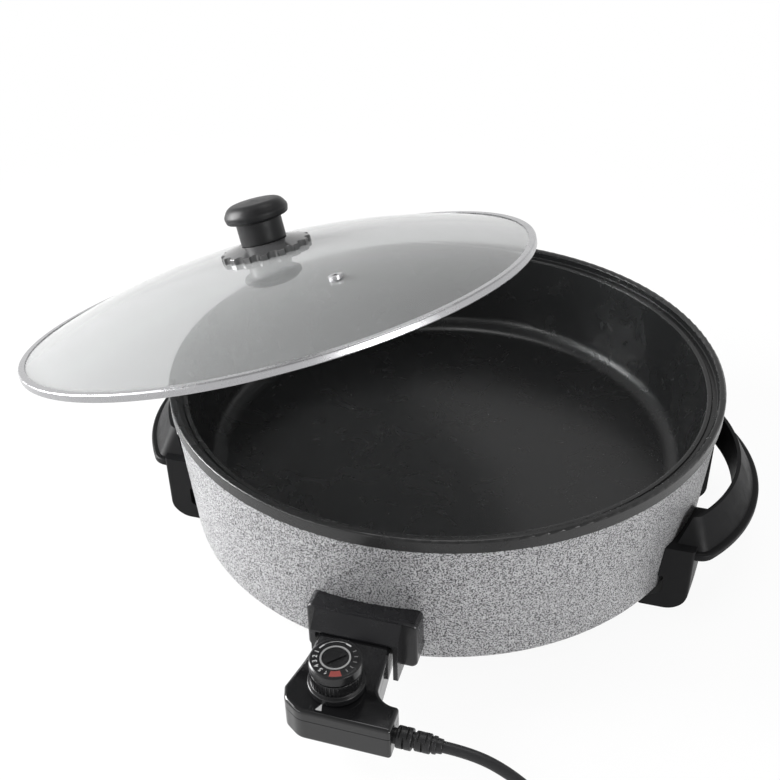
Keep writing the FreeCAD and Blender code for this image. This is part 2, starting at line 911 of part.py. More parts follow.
def make_contact_sleeves():
    sleeves = []
    start_y = -nose_tip_y - body_wall - 0.6
    end_y = start_y - sleeve_length
    for x in terminal_xs():
        start = V(x, start_y, socket_z)
        sleeves.append(pipe(pin_r + sleeve_wall, pin_r + 0.08, start, V(x, end_y, socket_z)))
    return group(sleeves)


dial_low_z = body_top_z + dial_gap
dial_top_z = dial_low_z + dial_h
spindle_top_z = dial_low_z + 13.0


def make_dial_spindle():
    return rod(spindle_r, dial_point(body_low_z + body_wall + 3.5), dial_point(spindle_top_z))


def make_dial():
    """Knob with a flared skirt, fine flutes round its grip and a plain drum above a groove."""
    top_z = dial_top_z
    drum_low_z = top_z - dial_drum_h
    groove_low_z = drum_low_z - dial_groove_h
    corners = [
        (0, dial_low_z),
        (dial_skirt_r, dial_low_z),
        (dial_skirt_r, dial_low_z + dial_skirt_h, 0.8),
        (dial_grip_r, dial_low_z + dial_skirt_h + 0.8, 0.3),
        (dial_grip_r, groove_low_z, 0.3),
        (dial_grip_r - dial_groove_t, groove_low_z),
        (dial_grip_r - dial_groove_t, drum_low_z),
        (dial_drum_r, drum_low_z, 0.4),
        (dial_drum_r, top_z - 1.0, 0.6),
        (dial_drum_r - 1.0, top_z, 0.6),
        (dial_face_r, top_z),
        (dial_face_r, top_z - dial_recess),
        (0, top_z - dial_recess),
    ]
    knob = spun(corners)
    flutes = []
    low_z = dial_low_z + dial_skirt_h + 1.4
    high_z = groove_low_z - 0.6
    for i in range(flute_count):
        turn = math.radians(360.0 * i / flute_count)
        foot = V((dial_grip_r + 0.2) * math.cos(turn), (dial_grip_r + 0.2) * math.sin(turn), low_z)
        flutes.append(Part.makeCylinder(flute_r, high_z - low_z, foot))
    knob = knob.cut(group(flutes))
    knob = knob.cut(rod(spindle_r, V(0, 0, dial_low_z - 1), V(0, 0, spindle_top_z)))
    knob.translate(dial_point(0))
    return knob


def make_dial_ring():
    low_z = dial_top_z - dial_recess
    outer = dial_face_r - dial_cap_fit
    return pipe(outer, outer - dial_ring_w, dial_point(low_z), dial_point(dial_top_z + 0.3))


def make_dial_cap():
    """Round insert in the dial's face with a raised diagonal bar."""
    low_z = dial_top_z - dial_recess
    radius = dial_face_r - dial_ring_w - 2 * dial_cap_fit
    disc = rod(radius, dial_point(low_z), dial_point(dial_top_z - 0.1))
    half_l = radius - 1.6
    bar = box(V(-half_l, -dial_bar_w / 2, low_z), V(half_l, dial_bar_w / 2, dial_top_z + dial_bar_h - 0.4))
    bar.rotate(V(0, 0, 0), UP, 45)
    bar.translate(dial_point(0))
    return disc.fuse(bar)


def in_lid_place(shape):
    """Moves a shape from the lid's own frame to where the lid is held, leaning."""
    lean = math.radians(lid_lean_towards_deg)
    axis = V(-math.sin(lean), math.cos(lean), 0)
    placed = shape.copy()
    placed.rotate(V(0, 0, 0), axis, lid_lean_deg)
    placed.translate(lid_centre)
    return placed


glass_edge_r = lid_r - glass_edge_inset
dome_foot_r = lid_r - band_lip_w + 0.5
dome_rise = lid_rise - glass_t / 2
dome_r = (dome_foot_r ** 2 + dome_rise ** 2) / (2 * dome_rise)


def dome_z(r, rise):
    """Height of the glass's dome at radius r, for a surface that crowns at rise."""
    return rise - dome_r + math.sqrt(dome_r ** 2 - r ** 2)


def dome_arc(r0, r1, rise):
    points = []
    for r in (r0, (r0 + r1) / 2, r1):
        points.append(V(r, 0, dome_z(r, rise)))
    return Part.Arc(points[0], points[1], points[2]).toShape()


def make_lid_glass():
    """Domed pane with a flat brim, holed for the knob screw and the steam vent."""
    top = lid_rise
    low = lid_rise - glass_t
    hole_r = knob_screw_r + 1.0
    under_foot_r = dome_foot_r - 1.2
    edges = [dome_arc(hole_r, dome_foot_r, top)]
    brim = [
        V(dome_foot_r, 0, dome_z(dome_foot_r, top)),
        V(glass_edge_r, 0, dome_z(dome_foot_r, top)),
        V(glass_edge_r, 0, -glass_t / 2),
        V(under_foot_r, 0, dome_z(under_foot_r, low)),
    ]
    for a, b in zip(brim, brim[1:]):
        edges.append(Part.LineSegment(a, b).toShape())
    edges.append(dome_arc(under_foot_r, hole_r, low))
    last = V(hole_r, 0, dome_z(hole_r, low))
    edges.append(Part.LineSegment(last, V(hole_r, 0, dome_z(hole_r, top))).toShape())
    pane = Part.Face(Part.Wire(edges)).revolve(V(0, 0, 0), UP, 360)
    vent = vent_axis_point(0)
    return pane.cut(rod(vent_hole_r, vent, vent_axis_point(2 * lid_rise)))


def vent_axis_point(height):
    turn = math.radians(vent_deg)
    return V(vent_radius * math.cos(turn), vent_radius * math.sin(turn), height)


brim_top_z = dome_z(dome_foot_r, lid_rise)


def make_lid_band():
    """Rolled steel channel round the edge of the glass."""
    top = brim_top_z + band_sheet
    low = -glass_t / 2 - band_sheet
    inner = lid_r - band_lip_w
    corners = [
        (lid_r, low, 1.2),
        (lid_r, top, 1.2),
        (inner, top),
        (inner, brim_top_z),
        (inner + 0.5, brim_top_z),
        (glass_edge_r, brim_top_z),
        (glass_edge_r, -glass_t / 2),
        (lid_r - band_under_w, -glass_t / 2),
        (lid_r - band_under_w, low),
    ]
    band = spun(corners)
    dome = dome_solid(lid_rise)
    return band.cut(dome)


def dome_solid(rise):
    """Solid under a dome surface, used to seat pieces on the glass."""
    foot = dome_foot_r
    edges = [dome_arc(0, foot, rise)]
    base = -lid_rise
    edges.append(Part.LineSegment(V(foot, 0, dome_z(foot, rise)), V(foot, 0, base)).toShape())
    edges.append(Part.LineSegment(V(foot, 0, base), V(0, 0, base)).toShape())
    edges.append(Part.LineSegment(V(0, 0, base), V(0, 0, rise)).toShape())
    return Part.Face(Part.Wire(edges)).revolve(V(0, 0, 0), UP, 360)


def make_vent_eyelet():
    """Riveted metal eyelet in the steam hole."""
    top_z = dome_z(vent_radius, lid_rise)
    low_z = dome_z(vent_radius, lid_rise - glass_t)
    slope = vent_radius / dome_r
    lift = vent_flange_r * slope
    barrel = rod(vent_hole_r, vent_axis_point(low_z - 2.5), vent_axis_point(top_z + 0.5))
    upper = rod(vent_flange_r, vent_axis_point(top_z - lift), vent_axis_point(top_z + 1.6))
    upper = upper.cut(dome_solid(lid_rise))
    lower = rod(vent_hole_r + 1.4, vent_axis_point(low_z - 2.5), vent_axis_point(low_z + lift))
    lower = lower.common(dome_solid(lid_rise - glass_t))
    eyelet = barrel.fuse([upper, lower])
    return eyelet.cut(rod(vent_hole_r - 1.2, vent_axis_point(0), vent_axis_point(2 * lid_rise)))


flange_top_z = lid_rise + knob_flange_h
knob_top_z = lid_rise + knob_height


def make_knob_flange():
    """Scalloped heat guard under the knob."""
    rim_z = dome_z(knob_flange_r, lid_rise)
    corners = [
        (knob_screw_r + 0.2, rim_z - 1),
        (knob_flange_r, rim_z - 1),
        (knob_flange_r, rim_z + knob_flange_edge, 0.8),
        (knob_stem_r + 1.5, flange_top_z, 2.0),
        (knob_screw_r + 0.2, flange_top_z),
    ]
    flange = spun(corners).cut(dome_solid(lid_rise))
    bites = []
    reach = knob_flange_r + scallop_r - scallop_bite
    for i in range(scallop_count):
        turn = math.radians(360.0 * (i + 0.5) / scallop_count)
        foot = V(reach * math.cos(turn), reach * math.sin(turn), rim_z - glass_t)
        bites.append(Part.makeCylinder(scallop_r, lid_rise, foot))
    return flange.cut(group(bites))


def make_knob():
    """Straight stem under a shallow mushroom cap, bored for its brass insert."""
    cap_low = knob_top_z - knob_cap_h
    corners = [
        (0, flange_top_z),
        (knob_stem_r, flange_top_z, 0.8),
        (knob_stem_r, cap_low, 1.5),
        (knob_cap_r - 1.2, cap_low + 0.4, 2.0),
        (knob_cap_r, cap_low + 0.4 * knob_cap_h, 4.0),
        (knob_cap_r - 4.2, knob_top_z - 1.6, 8.0),
        (0, knob_top_z),
    ]
    bore = rod(knob_insert_r, V(0, 0, flange_top_z - 1), V(0, 0, flange_top_z + knob_insert_h))
    return spun(corners).cut(bore)


def make_knob_insert():
    start = V(0, 0, flange_top_z)
    return pipe(knob_insert_r, knob_screw_r, start, start + V(0, 0, knob_insert_h))


glass_under_z = lid_rise - glass_t


def make_knob_washer():
    low = V(0, 0, glass_under_z - knob_washer_t - 0.15)
    top = V(0, 0, glass_under_z)
    washer = pipe(knob_washer_r, knob_screw_r, low, top)
    return washer.common(dome_solid(glass_under_z))


def make_knob_screw():
    seat = glass_under_z - knob_washer_t - 0.15
    head = Part.makeCone(2.2 * knob_screw_r, 1.8 * knob_screw_r, 2.8, V(0, 0, seat), V(0, 0, -1))
    shank = rod(knob_screw_r, V(0, 0, seat - 0.5), V(0, 0, flange_top_z + knob_insert_h - 3))
    arm = 1.3 * knob_screw_r
    cross = box(V(-arm, -0.5, seat - 3.0), V(arm, 0.5, seat - 1.4))
    cross = cross.fuse(box(V(-0.5, -arm, seat - 3.0), V(0.5, arm, seat - 1.4)))
    return head.fuse(shank).cut(cross)


def make_strain_relief():
    """Segmented rubber boot along +X: two notched blocks and an end ring on a neck."""
    first_low = relief_gap
    first_high = first_low + relief_block_l
    second_low = first_high + relief_gap
    second_high = second_low + relief_block_l
    ring_high = relief_length - 2 * relief_gap
    ring_low = ring_high - relief_ring_l
    corners = [
        (0, -relief_inside),
        (relief_neck_r, -relief_inside),
        (relief_neck_r, first_low),
        (relief_block_r, first_low, 0.7),
        (relief_block_r, first_high, 0.7),
        (relief_neck_r, first_high),
        (relief_neck_r, second_low),
        (relief_second_r, second_low, 0.7),
        (relief_second_r, second_high, 0.7),
        (relief_neck_r, second_high),
        (relief_neck_r, ring_low),
        (relief_ring_r, ring_low, 0.5),
        (relief_ring_r, ring_high, 0.5),
        (relief_neck_r - 0.2, ring_high),
        (relief_neck_r - 0.4, relief_length, 0.4),
        (0, relief_length),
    ]
    boot = spun(corners)
    notches = []
    half_core = cord_r + 0.5
    wide = relief_block_r
    for low in (first_low, second_low):
        for i in range(3):
            z = low + (i + 1) * relief_block_l / 4 - relief_notch_w / 2
            top = z + relief_notch_w
            for side in (-1, 1):
                if i % 2 == 0:
                    ends = V(side * half_core, -wide, z), V(side * 2 * wide, wide, top)
                else:
                    ends = V(-wide, side * half_core, z), V(wide, side * 2 * wide, top)
                notches.append(box_between(ends[0], ends[1]))
    boot = boot.cut(group(notches))
    boot.rotate(V(0, 0, 0), V(0, 1, 0), 90)
    boot.translate(V(tail_end_x, -relief_y, relief_z))
    return boot


def box_between(a, b):
    low = V(min(a.x, b.x), min(a.y, b.y), min(a.z, b.z))
    high = V(max(a.x, b.x), max(a.y, b.y), max(a.z, b.z))
    return box(low, high)


def make_cord_clamp():
    """Bar that grips the cord's sheath inside the tail."""
    x = tail_end_x - 9.5
    low = V(x - 2.5, -relief_y - 6, body_low_z + body_wall)
    return box(low, V(x + 2.5, -relief_y + 0.0, lower_top_z - 2))


def tube_along(points, radius):
    """Tube along straight runs joined by tangent arcs; prints each arc's radius."""
    edges = []
    radii = []
    length = 0.0
    start = points[0]
    for i in range(1, len(points) - 1):
        here = points[i]
        back = points[i - 1] - here
        ahead = points[i + 1] - here
        shorter = min(back.Length, ahead.Length)
        turn = math.pi - back.getAngle(ahead)
        reach = 0.45 * shorter
        arc_r = reach / math.tan(turn / 2)
        back.normalize()
        ahead.normalize()
        middle = (back + ahead).normalize()
        centre = here + middle * (arc_r / math.cos(turn / 2))
        first = here + back * reach
        last = here + ahead * reach
        edges.append(Part.LineSegment(start, first).toShape())
        edges.append(Part.Arc(first, centre - middle * arc_r, last).toShape())
        length += (first - start).Length + arc_r * turn
        radii.append(round(arc_r, 1))
        start = last
    edges.append(Part.LineSegment(start, points[-1]).toShape())
    length += (points[-1] - start).Length
    tube = swept_tube(edges, radius)
    print("tube radii", radii, "length", round(length, 1))
    print("volume over section times length", round(tube.Volume / (math.pi * radius ** 2 * length), 4))
    return tube, length


def swept_tube(edges, radius):
    path = Part.Wire(edges)
    first = edges[0]
    begin = first.valueAt(first.FirstParameter)
    heading = first.tangentAt(first.FirstParameter)
    section = Part.Wire([Part.makeCircle(radius, begin, heading)])
    return path.makePipeShell([section], True, False)


coil_layer_z = coil_pitch
coil_heading = (cord_route[-1] - cord_route[-2]).normalize()
coil_entry = cord_route[-1] + coil_heading * (2 * cord_r)
coil_centre = coil_entry + V(coil_heading.y, -coil_heading.x, 0) * coil_outer_r
coil_start_turn = math.atan2(coil_entry.y - coil_centre.y, coil_entry.x - coil_centre.x)
coil_layer_sweep = 2 * math.pi * (coil_turns_per_layer - 0.25)
coil_inner_r = coil_outer_r - coil_pitch * coil_layer_sweep / (2 * math.pi)


def smooth(share):
    return share * share * (3 - 2 * share)


def coil_point(swept):
    """Centre line of the coil after an angle swept clockwise from its entry."""
    climb = math.pi
    inward = coil_layer_sweep
    if swept < inward:
        radius = coil_outer_r - (coil_outer_r - coil_inner_r) * swept / inward
        z = 0.0
    elif swept < inward + climb:
        risen = swept - inward
        radius = coil_inner_r - coil_pitch / (2 * math.pi) * (risen - risen * risen / climb)
        z = coil_layer_z * smooth(risen / climb)
    else:
        radius = coil_inner_r + (coil_outer_r - coil_inner_r) * (swept - inward - climb) / inward
        z = coil_layer_z
    turn = coil_start_turn - swept
    return coil_centre + V(radius * math.cos(turn), radius * math.sin(turn), z)


def coil_tangent(swept):
    step = 1e-3
    if swept < step:
        return V(coil_heading.x, coil_heading.y, 0)
    ahead = coil_point(swept + step) - coil_point(swept - step)
    return ahead.normalize()


def biarc(p0, t0, p1, t1):
    """Two arcs that leave p0 along t0 and reach p1 along t1, smooth where they meet."""
    chord = p1 - p0
    total = t0 + t1
    a = 2 * (1 - t0.dot(t1))
    b = 2 * chord.dot(total)
    c = -chord.dot(chord)
    if abs(a) < 1e-9:
        reach = -c / b
    else:
        reach = (-b + math.sqrt(b * b - 4 * a * c)) / (2 * a)
    q0 = p0 + t0 * reach
    q1 = p1 - t1 * reach
    joint = (q0 + q1) * 0.5
    return [arc_from(p0, t0, joint), arc_to(joint, p1, t1)]


def arc_from(start, heading, end):
    chord = end - start
    normal = heading.cross(chord)
    side = normal.cross(heading)
    side.normalize()
    radius = chord.dot(chord) / (2 * chord.dot(side))
    centre = start + side * radius
    crown = ((start + end) * 0.5 - centre).normalize() * radius
    return Part.Arc(start, centre + crown, end).toShape()


def arc_to(start, end, heading):
    backwards = arc_from(end, heading * -1, start)
    mid = backwards.valueAt((backwards.FirstParameter + backwards.LastParameter) / 2)
    return Part.Arc(start, mid, end).toShape()


coil_sweep = 2 * coil_layer_sweep + math.pi


def make_cord_coil():
    """Put-away turns in two layers, as one unbroken tube on quarter-turn biarcs."""
    quarter = math.pi / 2
    steps = int(round(coil_sweep / quarter))
    edges = [Part.LineSegment(cord_route[-1], coil_point(0)).toShape()]
    for i in range(steps):
        a = i * quarter
        b = (i + 1) * quarter
        edges.extend(biarc(coil_point(a), coil_tangent(a), coil_point(b), coil_tangent(b)))
    end = coil_point(coil_sweep)
    heading = coil_tangent(coil_sweep - 0.01)
    heading = coil_tangent(steps * quarter)
    edges.append(Part.LineSegment(end, end + heading * (2 * cord_r)).toShape())
    tube = swept_tube(edges, cord_r)
    length = sum(edge.Length for edge in edges)
    print("coil length", round(length, 1), "least gap", round(coil_gap(), 2))
    print("coil volume over section times length", round(tube.Volume / (math.pi * cord_r ** 2 * length), 4))
    return tube, length, end + heading * (2 * cord_r), heading


def coil_gap():
    """Least gap between two stretches of the coil, on sampled points of its centre line."""
    count = 720
    points = [coil_point(coil_sweep * i / count) for i in range(count + 1)]
    apart = int(count * math.radians(60) / coil_sweep)
    least = 1e9
    for i in range(0, count + 1, 2):
        for j in range(i + apart, count + 1):
            least = min(least, (points[i] - points[j]).Length)
    return least - 2 * cord_r


def make_coil_tie():
    """Strap round the turns on the far side of the coil."""
    turn = coil_start_turn - math.pi
    middle_r = (coil_outer_r + coil_inner_r) / 2
    half_r = (coil_outer_r - coil_inner_r) / 2 + cord_r + 0.4
    high_z = cord_floor_z + coil_layer_z + cord_r + 0.4
    outer = box(
        V(middle_r - half_r - tie_t, -tie_w / 2, 0.0),
        V(middle_r + half_r + tie_t, tie_w / 2, high_z + tie_t),
    )
    inner = box(
        V(middle_r - half_r, -tie_w, tie_t),
        V(middle_r + half_r, tie_w, high_z),
    )
    tie = outer.cut(inner)
    tie.rotate(V(0, 0, 0), UP, math.degrees(turn))
    tie.translate(V(coil_centre.x, coil_centre.y, 0))
    return tie


def make_cord_tail(start, heading):
    """Short free end from the coil up to the plug's neck."""
    side = V(heading.y, -heading.x, 0)
    route = [
        start,
        start + heading * 20,
        start + heading * 40 + V(0, 0, tail_rise) - side * 2.5,
        start + heading * 60 + V(0, 0, plug_axis_z - start.z) - side * 4.5,
        start + heading * 78 + V(0, 0, plug_axis_z - start.z) - side * 5.5,
    ]
    tube, length = tube_along(route, cord_r)
    out = route[-1] - route[-2]
    out.z = 0
    return tube, length, route[-1], out.normalize()


def along(base, heading, distance):
    return base + heading * distance


def plug_spin(corners, base, heading):
    """Solid of revolution whose axis starts at base and runs along heading."""
    solid = spun(corners)
    solid.rotate(V(0, 0, 0), V(0, 1, 0), 90)
    solid.rotate(V(0, 0, 0), UP, math.degrees(math.atan2(heading.y, heading.x)))
    solid.translate(base)
    return solid


def make_plug_body(base, heading):
    neck = plug_neck_l
    front = neck + plug_body_l
    corners = [
        (0, 0),
        (plug_neck_r - 3.0, 0, 0.8),
        (plug_neck_r - 0.5, neck * 0.55, 6.0),
        (plug_face_r - 3.0, neck + 4.0, 8.0),
        (plug_face_r, neck + 14.0, 4.0),
        (plug_face_r, front, 1.2),
        (0, front),
    ]
    body = plug_spin(corners, base, heading)
    pins = plug_pin_rods(base, heading)
    slots = []
    for side in (-1, 1):
        slot_x = side * plug_face_r
        slot = box(V(slot_x - 2.4, -4.0, front - 14.0), V(slot_x + 2.4, 4.0, front + 1))
        slot.rotate(V(0, 0, 0), V(0, 1, 0), 90)
        slot.rotate(V(0, 0, 0), UP, math.degrees(math.atan2(heading.y, heading.x)))
        slot.translate(base)
        slots.append(slot)
    return body.cut(group(pins + slots))


def plug_pin_rods(base, heading):
    """Pins with thinner roots, which end just clear of the plug's face."""
    front = plug_neck_l + plug_body_l
    rods = []
    for side in (-1, 1):
        offset = V(-heading.y, heading.x, 0) * (side * plug_pin_spread)
        buried = along(base, heading, front - plug_root_l) + offset
        shoulder = along(base, heading, front + plug_root_gap) + offset
        tip = along(base, heading, front + plug_pin_l) + offset
        pin = rod(plug_pin_r, shoulder, tip)
        pin = pin.makeFillet(plug_pin_round, [pin.Edges[edge_at_end(pin, tip)]])
        rods.append(pin.fuse(rod(plug_root_r, buried, shoulder)))
    return rods


def make_plug_pins(base, heading):
    return group(plug_pin_rods(base, heading))


def main():
    os.makedirs("parts", exist_ok=True)
    save("inner_pan", make_inner_pan())
    save("outer_shell", make_outer_shell())
    save("heat_plate", make_heat_plate())
    save("heating_element", make_heating_element())
    save("terminal_pins", make_terminal_pins())
    save("pin_insulators", make_pin_insulators())
    save("probe_tube", make_probe_tube())
    save("base_studs", make_studs())
    save("base_washers", make_stud_washers())
    save("base_nuts", make_stud_nuts())
    handle = make_handle_right()
    save("handle_right", handle)
    save("handle_left", handle.mirror(V(0, 0, 0), V(1, 0, 0)))
    save("handle_screws", make_handle_screws())
    save("handle_brackets", make_handle_brackets())
    save("socket_guard", make_socket_guard())
    save("guard_screws", make_guard_screws())
    save("controller_lower_shell", make_controller_lower_shell())
    save("controller_upper_shell", make_controller_upper_shell())
    save("housing_screws", make_housing_screws())
    save("thermostat_switch", make_thermostat_switch())
    save("probe_rod", make_probe_rod())
    save("contact_sleeves", make_contact_sleeves())
    save("dial_spindle", make_dial_spindle())
    save("dial", make_dial())
    save("dial_ring", make_dial_ring())
    save("dial_cap", make_dial_cap())
    save("strain_relief", make_strain_relief())
    save("cord_clamp", make_cord_clamp())
    save("lid_glass", in_lid_place(make_lid_glass()))
    save("lid_band", in_lid_place(make_lid_band()))
    save("vent_eyelet", in_lid_place(make_vent_eyelet()))
    save("knob_flange", in_lid_place(make_knob_flange()))
    save("knob", in_lid_place(make_knob()))
    save("knob_insert", in_lid_place(make_knob_insert()))
    save("knob_washer", in_lid_place(make_knob_washer()))
    save("knob_screw", in_lid_place(make_knob_screw()))
    cord, cord_length = tube_along(cord_route, cord_r)
    coil, coil_length, coil_end, coil_way = make_cord_coil()
    tail, tail_length, plug_base, plug_way = make_cord_tail(coil_end, coil_way)
    print("cord length in all", round(cord_length + coil_length + tail_length, 1))
    save("cord", cord)
    save("cord_coil", coil)
    save("coil_tie", make_coil_tie())
    save("cord_tail", tail)
    save("plug_body", make_plug_body(plug_base, plug_way))
    save("plug_pins", make_plug_pins(plug_base, plug_way))


main()
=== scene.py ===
"""Round electric skillet with a loose glass lid and a plug-in controller on its cord."""
import bpy
import bmesh
import math
from mathutils import Euler, Matrix, Vector


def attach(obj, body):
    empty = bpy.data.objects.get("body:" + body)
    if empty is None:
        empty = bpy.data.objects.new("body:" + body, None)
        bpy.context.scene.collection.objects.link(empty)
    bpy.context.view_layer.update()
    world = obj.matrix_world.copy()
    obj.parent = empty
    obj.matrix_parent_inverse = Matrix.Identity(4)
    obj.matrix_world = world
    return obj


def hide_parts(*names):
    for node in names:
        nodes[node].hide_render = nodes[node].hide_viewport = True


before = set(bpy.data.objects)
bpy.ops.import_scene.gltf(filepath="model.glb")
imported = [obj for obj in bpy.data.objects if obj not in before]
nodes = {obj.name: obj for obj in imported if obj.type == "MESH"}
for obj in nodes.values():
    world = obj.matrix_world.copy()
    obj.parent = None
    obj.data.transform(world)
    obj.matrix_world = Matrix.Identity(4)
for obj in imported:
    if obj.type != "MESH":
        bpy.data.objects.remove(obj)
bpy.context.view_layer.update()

MM = 0.001


# Small tools for building materials

def add_node(tree, kind, place=(0, 0), settings=None, **inputs):
    """A new node with its settings and plain input values filled in."""
    node = tree.nodes.new(kind)
    node.location = place
    for name, value in (settings or {}).items():
        setattr(node, name, value)
    for name, value in inputs.items():
        node.inputs[name.replace("_", " ")].default_value = value
    return node


def join(tree, start, end):
    tree.links.new(start, end)


def new_group(name, inputs, outputs):
    """A shader node group with named sockets, and its two end nodes."""
    group = bpy.data.node_groups.new(name, "ShaderNodeTree")
    for label, kind, value in inputs:
        kind = "NodeSocket" + kind
        socket = group.interface.new_socket(label, in_out="INPUT", socket_type=kind)
        if value is not None:
            socket.default_value = value
    for label, kind in outputs:
        group.interface.new_socket(label, in_out="OUTPUT", socket_type="NodeSocket" + kind)
    given = add_node(group, "NodeGroupInput", (-900, 0))
    out = add_node(group, "NodeGroupOutput", (900, 0))
    return group, given, out


def scaled_place(tree, place, size_mm):
    """Object coordinates divided by a grain size in millimetres."""
    per_metre = add_node(tree, "ShaderNodeMath", (-700, -200), {"operation": "DIVIDE"})
    per_metre.inputs[0].default_value = 1000.0
    join(tree, size_mm, per_metre.inputs[1])
    grown = add_node(tree, "ShaderNodeVectorMath", (-500, 0), {"operation": "SCALE"})
    join(tree, place, grown.inputs[0])
    join(tree, per_metre.outputs[0], grown.inputs["Scale"])
    return grown.outputs[0]


def grey_ramp(tree, value, stops, place):
    """Ramp of greys from (position, grey) stops."""
    node = add_node(tree, "ShaderNodeValToRGB", place)
    marks = node.color_ramp.elements
    while len(marks) < len(stops):
        marks.new(0.5)
    for mark, (position, grey) in zip(marks, stops):
        mark.position = position
        mark.color = (grey, grey, grey, 1.0)
    join(tree, value, node.inputs["Fac"])
    return node.outputs["Color"]


def make_moulded_grain():
    """Fine spark-eroded grain of moulded plastic and of sprayed coating."""
    group, given, out = new_group(
        "Moulded grain",
        [("Place", "Vector", None), ("Grain mm", "Float", 0.6), ("Patch mm", "Float", 25.0)],
        [("Height", "Float"), ("Patch", "Float")],
    )
    place = scaled_place(group, given.outputs["Place"], given.outputs["Grain mm"])
    fine = add_node(group, "ShaderNodeTexNoise", (-200, 100), Scale=1.0, Detail=2.0, Roughness=0.6)
    join(group, place, fine.inputs["Vector"])
    wide = scaled_place(group, given.outputs["Place"], given.outputs["Patch mm"])
    patch = add_node(group, "ShaderNodeTexNoise", (-200, -200), Scale=1.0, Detail=3.0, Roughness=0.55)
    join(group, wide, patch.inputs["Vector"])
    join(group, fine.outputs[0], out.inputs["Height"])
    join(group, patch.outputs[0], out.inputs["Patch"])
    return group


def make_handling_marks():
    """Roughness that varies with finger marks and dust, and a faint dust tone."""
    group, given, out = new_group(
        "Handling marks",
        [
            ("Place", "Vector", None),
            ("Size mm", "Float", 14.0),
            ("Clean", "Float", 0.2),
            ("Marked", "Float", 0.4),
        ],
        [("Roughness", "Float"), ("Dust", "Float")],
    )
    place = scaled_place(group, given.outputs["Place"], given.outputs["Size mm"])
    smear = add_node(
        group, "ShaderNodeTexNoise", (-250, 100), Scale=1.0, Detail=4.0, Roughness=0.65, Distortion=0.8
    )
    join(group, place, smear.inputs["Vector"])
    spread = add_node(group, "ShaderNodeMapRange", (0, 100))
    join(group, smear.outputs[0], spread.inputs["Value"])
    spread.inputs["From Min"].default_value = 0.38
    spread.inputs["From Max"].default_value = 0.68
    join(group, given.outputs["Clean"], spread.inputs["To Min"])
    join(group, given.outputs["Marked"], spread.inputs["To Max"])
    speck = add_node(group, "ShaderNodeTexNoise", (-250, -250), Scale=23.0, Detail=1.0)
    join(group, place, speck.inputs["Vector"])
    dust = add_node(group, "ShaderNodeMapRange", (0, -250))
    join(group, speck.outputs[0], dust.inputs["Value"])
    dust.inputs["From Min"].default_value = 0.66
    dust.inputs["From Max"].default_value = 0.8
    join(group, spread.outputs[0], out.inputs["Roughness"])
    join(group, dust.outputs[0], out.inputs["Dust"])
    return group


def make_hammered_enamel():
    """Silver ripples over dark valleys. The valleys' dark tone is partly the enamel's own two-tone
    look and partly painted shade in the ripple hollows; the beads' silver is partly painted sheen,
    together standing in for the hammered finish's reflection contrast.
    """
    group, given, out = new_group(
        "Hammered enamel",
        [
            ("Place", "Vector", None),
            ("Cell mm", "Float", 1.6),
            # Valley and Bead: the enamel's two tones, their contrast partly painted shade and painted
            # sheen
            ("Valley", "Color", (0.06, 0.06, 0.062, 1.0)),
            ("Bead", "Color", (0.52, 0.52, 0.53, 1.0)),
        ],
        [("Colour", "Color"), ("Height", "Float"), ("Roughness", "Float")],
    )
    place = scaled_place(group, given.outputs["Place"], given.outputs["Cell mm"])
    warp = add_node(group, "ShaderNodeTexNoise", (-450, -350), Scale=1.7, Detail=2.0)
    join(group, place, warp.inputs["Vector"])
    shift = add_node(group, "ShaderNodeVectorMath", (-250, -250), {"operation": "MULTIPLY_ADD"})
    join(group, warp.outputs["Color"], shift.inputs[0])
    shift.inputs[1].default_value = (0.9, 0.9, 0.9)
    join(group, place, shift.inputs[2])
    cells = add_node(group, "ShaderNodeTexNoise", (-50, 100), Scale=1.0, Detail=1.0, Roughness=0.5)
    join(group, shift.outputs[0], cells.inputs["Vector"])
    blot = add_node(group, "ShaderNodeTexNoise", (-50, -250), Scale=0.23, Detail=2.0, Roughness=0.6)
    join(group, shift.outputs[0], blot.inputs["Vector"])
    bead = add_node(group, "ShaderNodeMapRange", (150, 100), {"interpolation_type": "SMOOTHSTEP"})
    join(group, cells.outputs[0], bead.inputs["Value"])
    bead.inputs["From Min"].default_value = 0.36
    bead.inputs["From Max"].default_value = 0.6
    tone = add_node(group, "ShaderNodeMapRange", (150, -250))
    join(group, blot.outputs[0], tone.inputs["Value"])
    tone.inputs["From Min"].default_value = 0.3
    tone.inputs["From Max"].default_value = 0.7
    tone.inputs["To Min"].default_value = 0.75
    # The darkest colour falls where the bump is lowest, so the valleys carry painted shade on top of
    # the enamel's tone
    both = add_node(group, "ShaderNodeMath", (350, 0), {"operation": "MULTIPLY"})
    join(group, bead.outputs[0], both.inputs[0])
    join(group, tone.outputs[0], both.inputs[1])
    blend = add_node(group, "ShaderNodeMix", (550, 100), {"data_type": "RGBA"})
    join(group, both.outputs[0], blend.inputs[0])
    join(group, given.outputs["Valley"], blend.inputs[6])
    join(group, given.outputs["Bead"], blend.inputs[7])
    rough = add_node(group, "ShaderNodeMapRange", (550, -200))
    join(group, both.outputs[0], rough.inputs["Value"])
    rough.inputs["To Min"].default_value = 0.5
    rough.inputs["To Max"].default_value = 0.3
    join(group, blend.outputs[2], out.inputs["Colour"])
    join(group, both.outputs[0], out.inputs["Height"])
    join(group, rough.outputs[0], out.inputs["Roughness"])
    return group


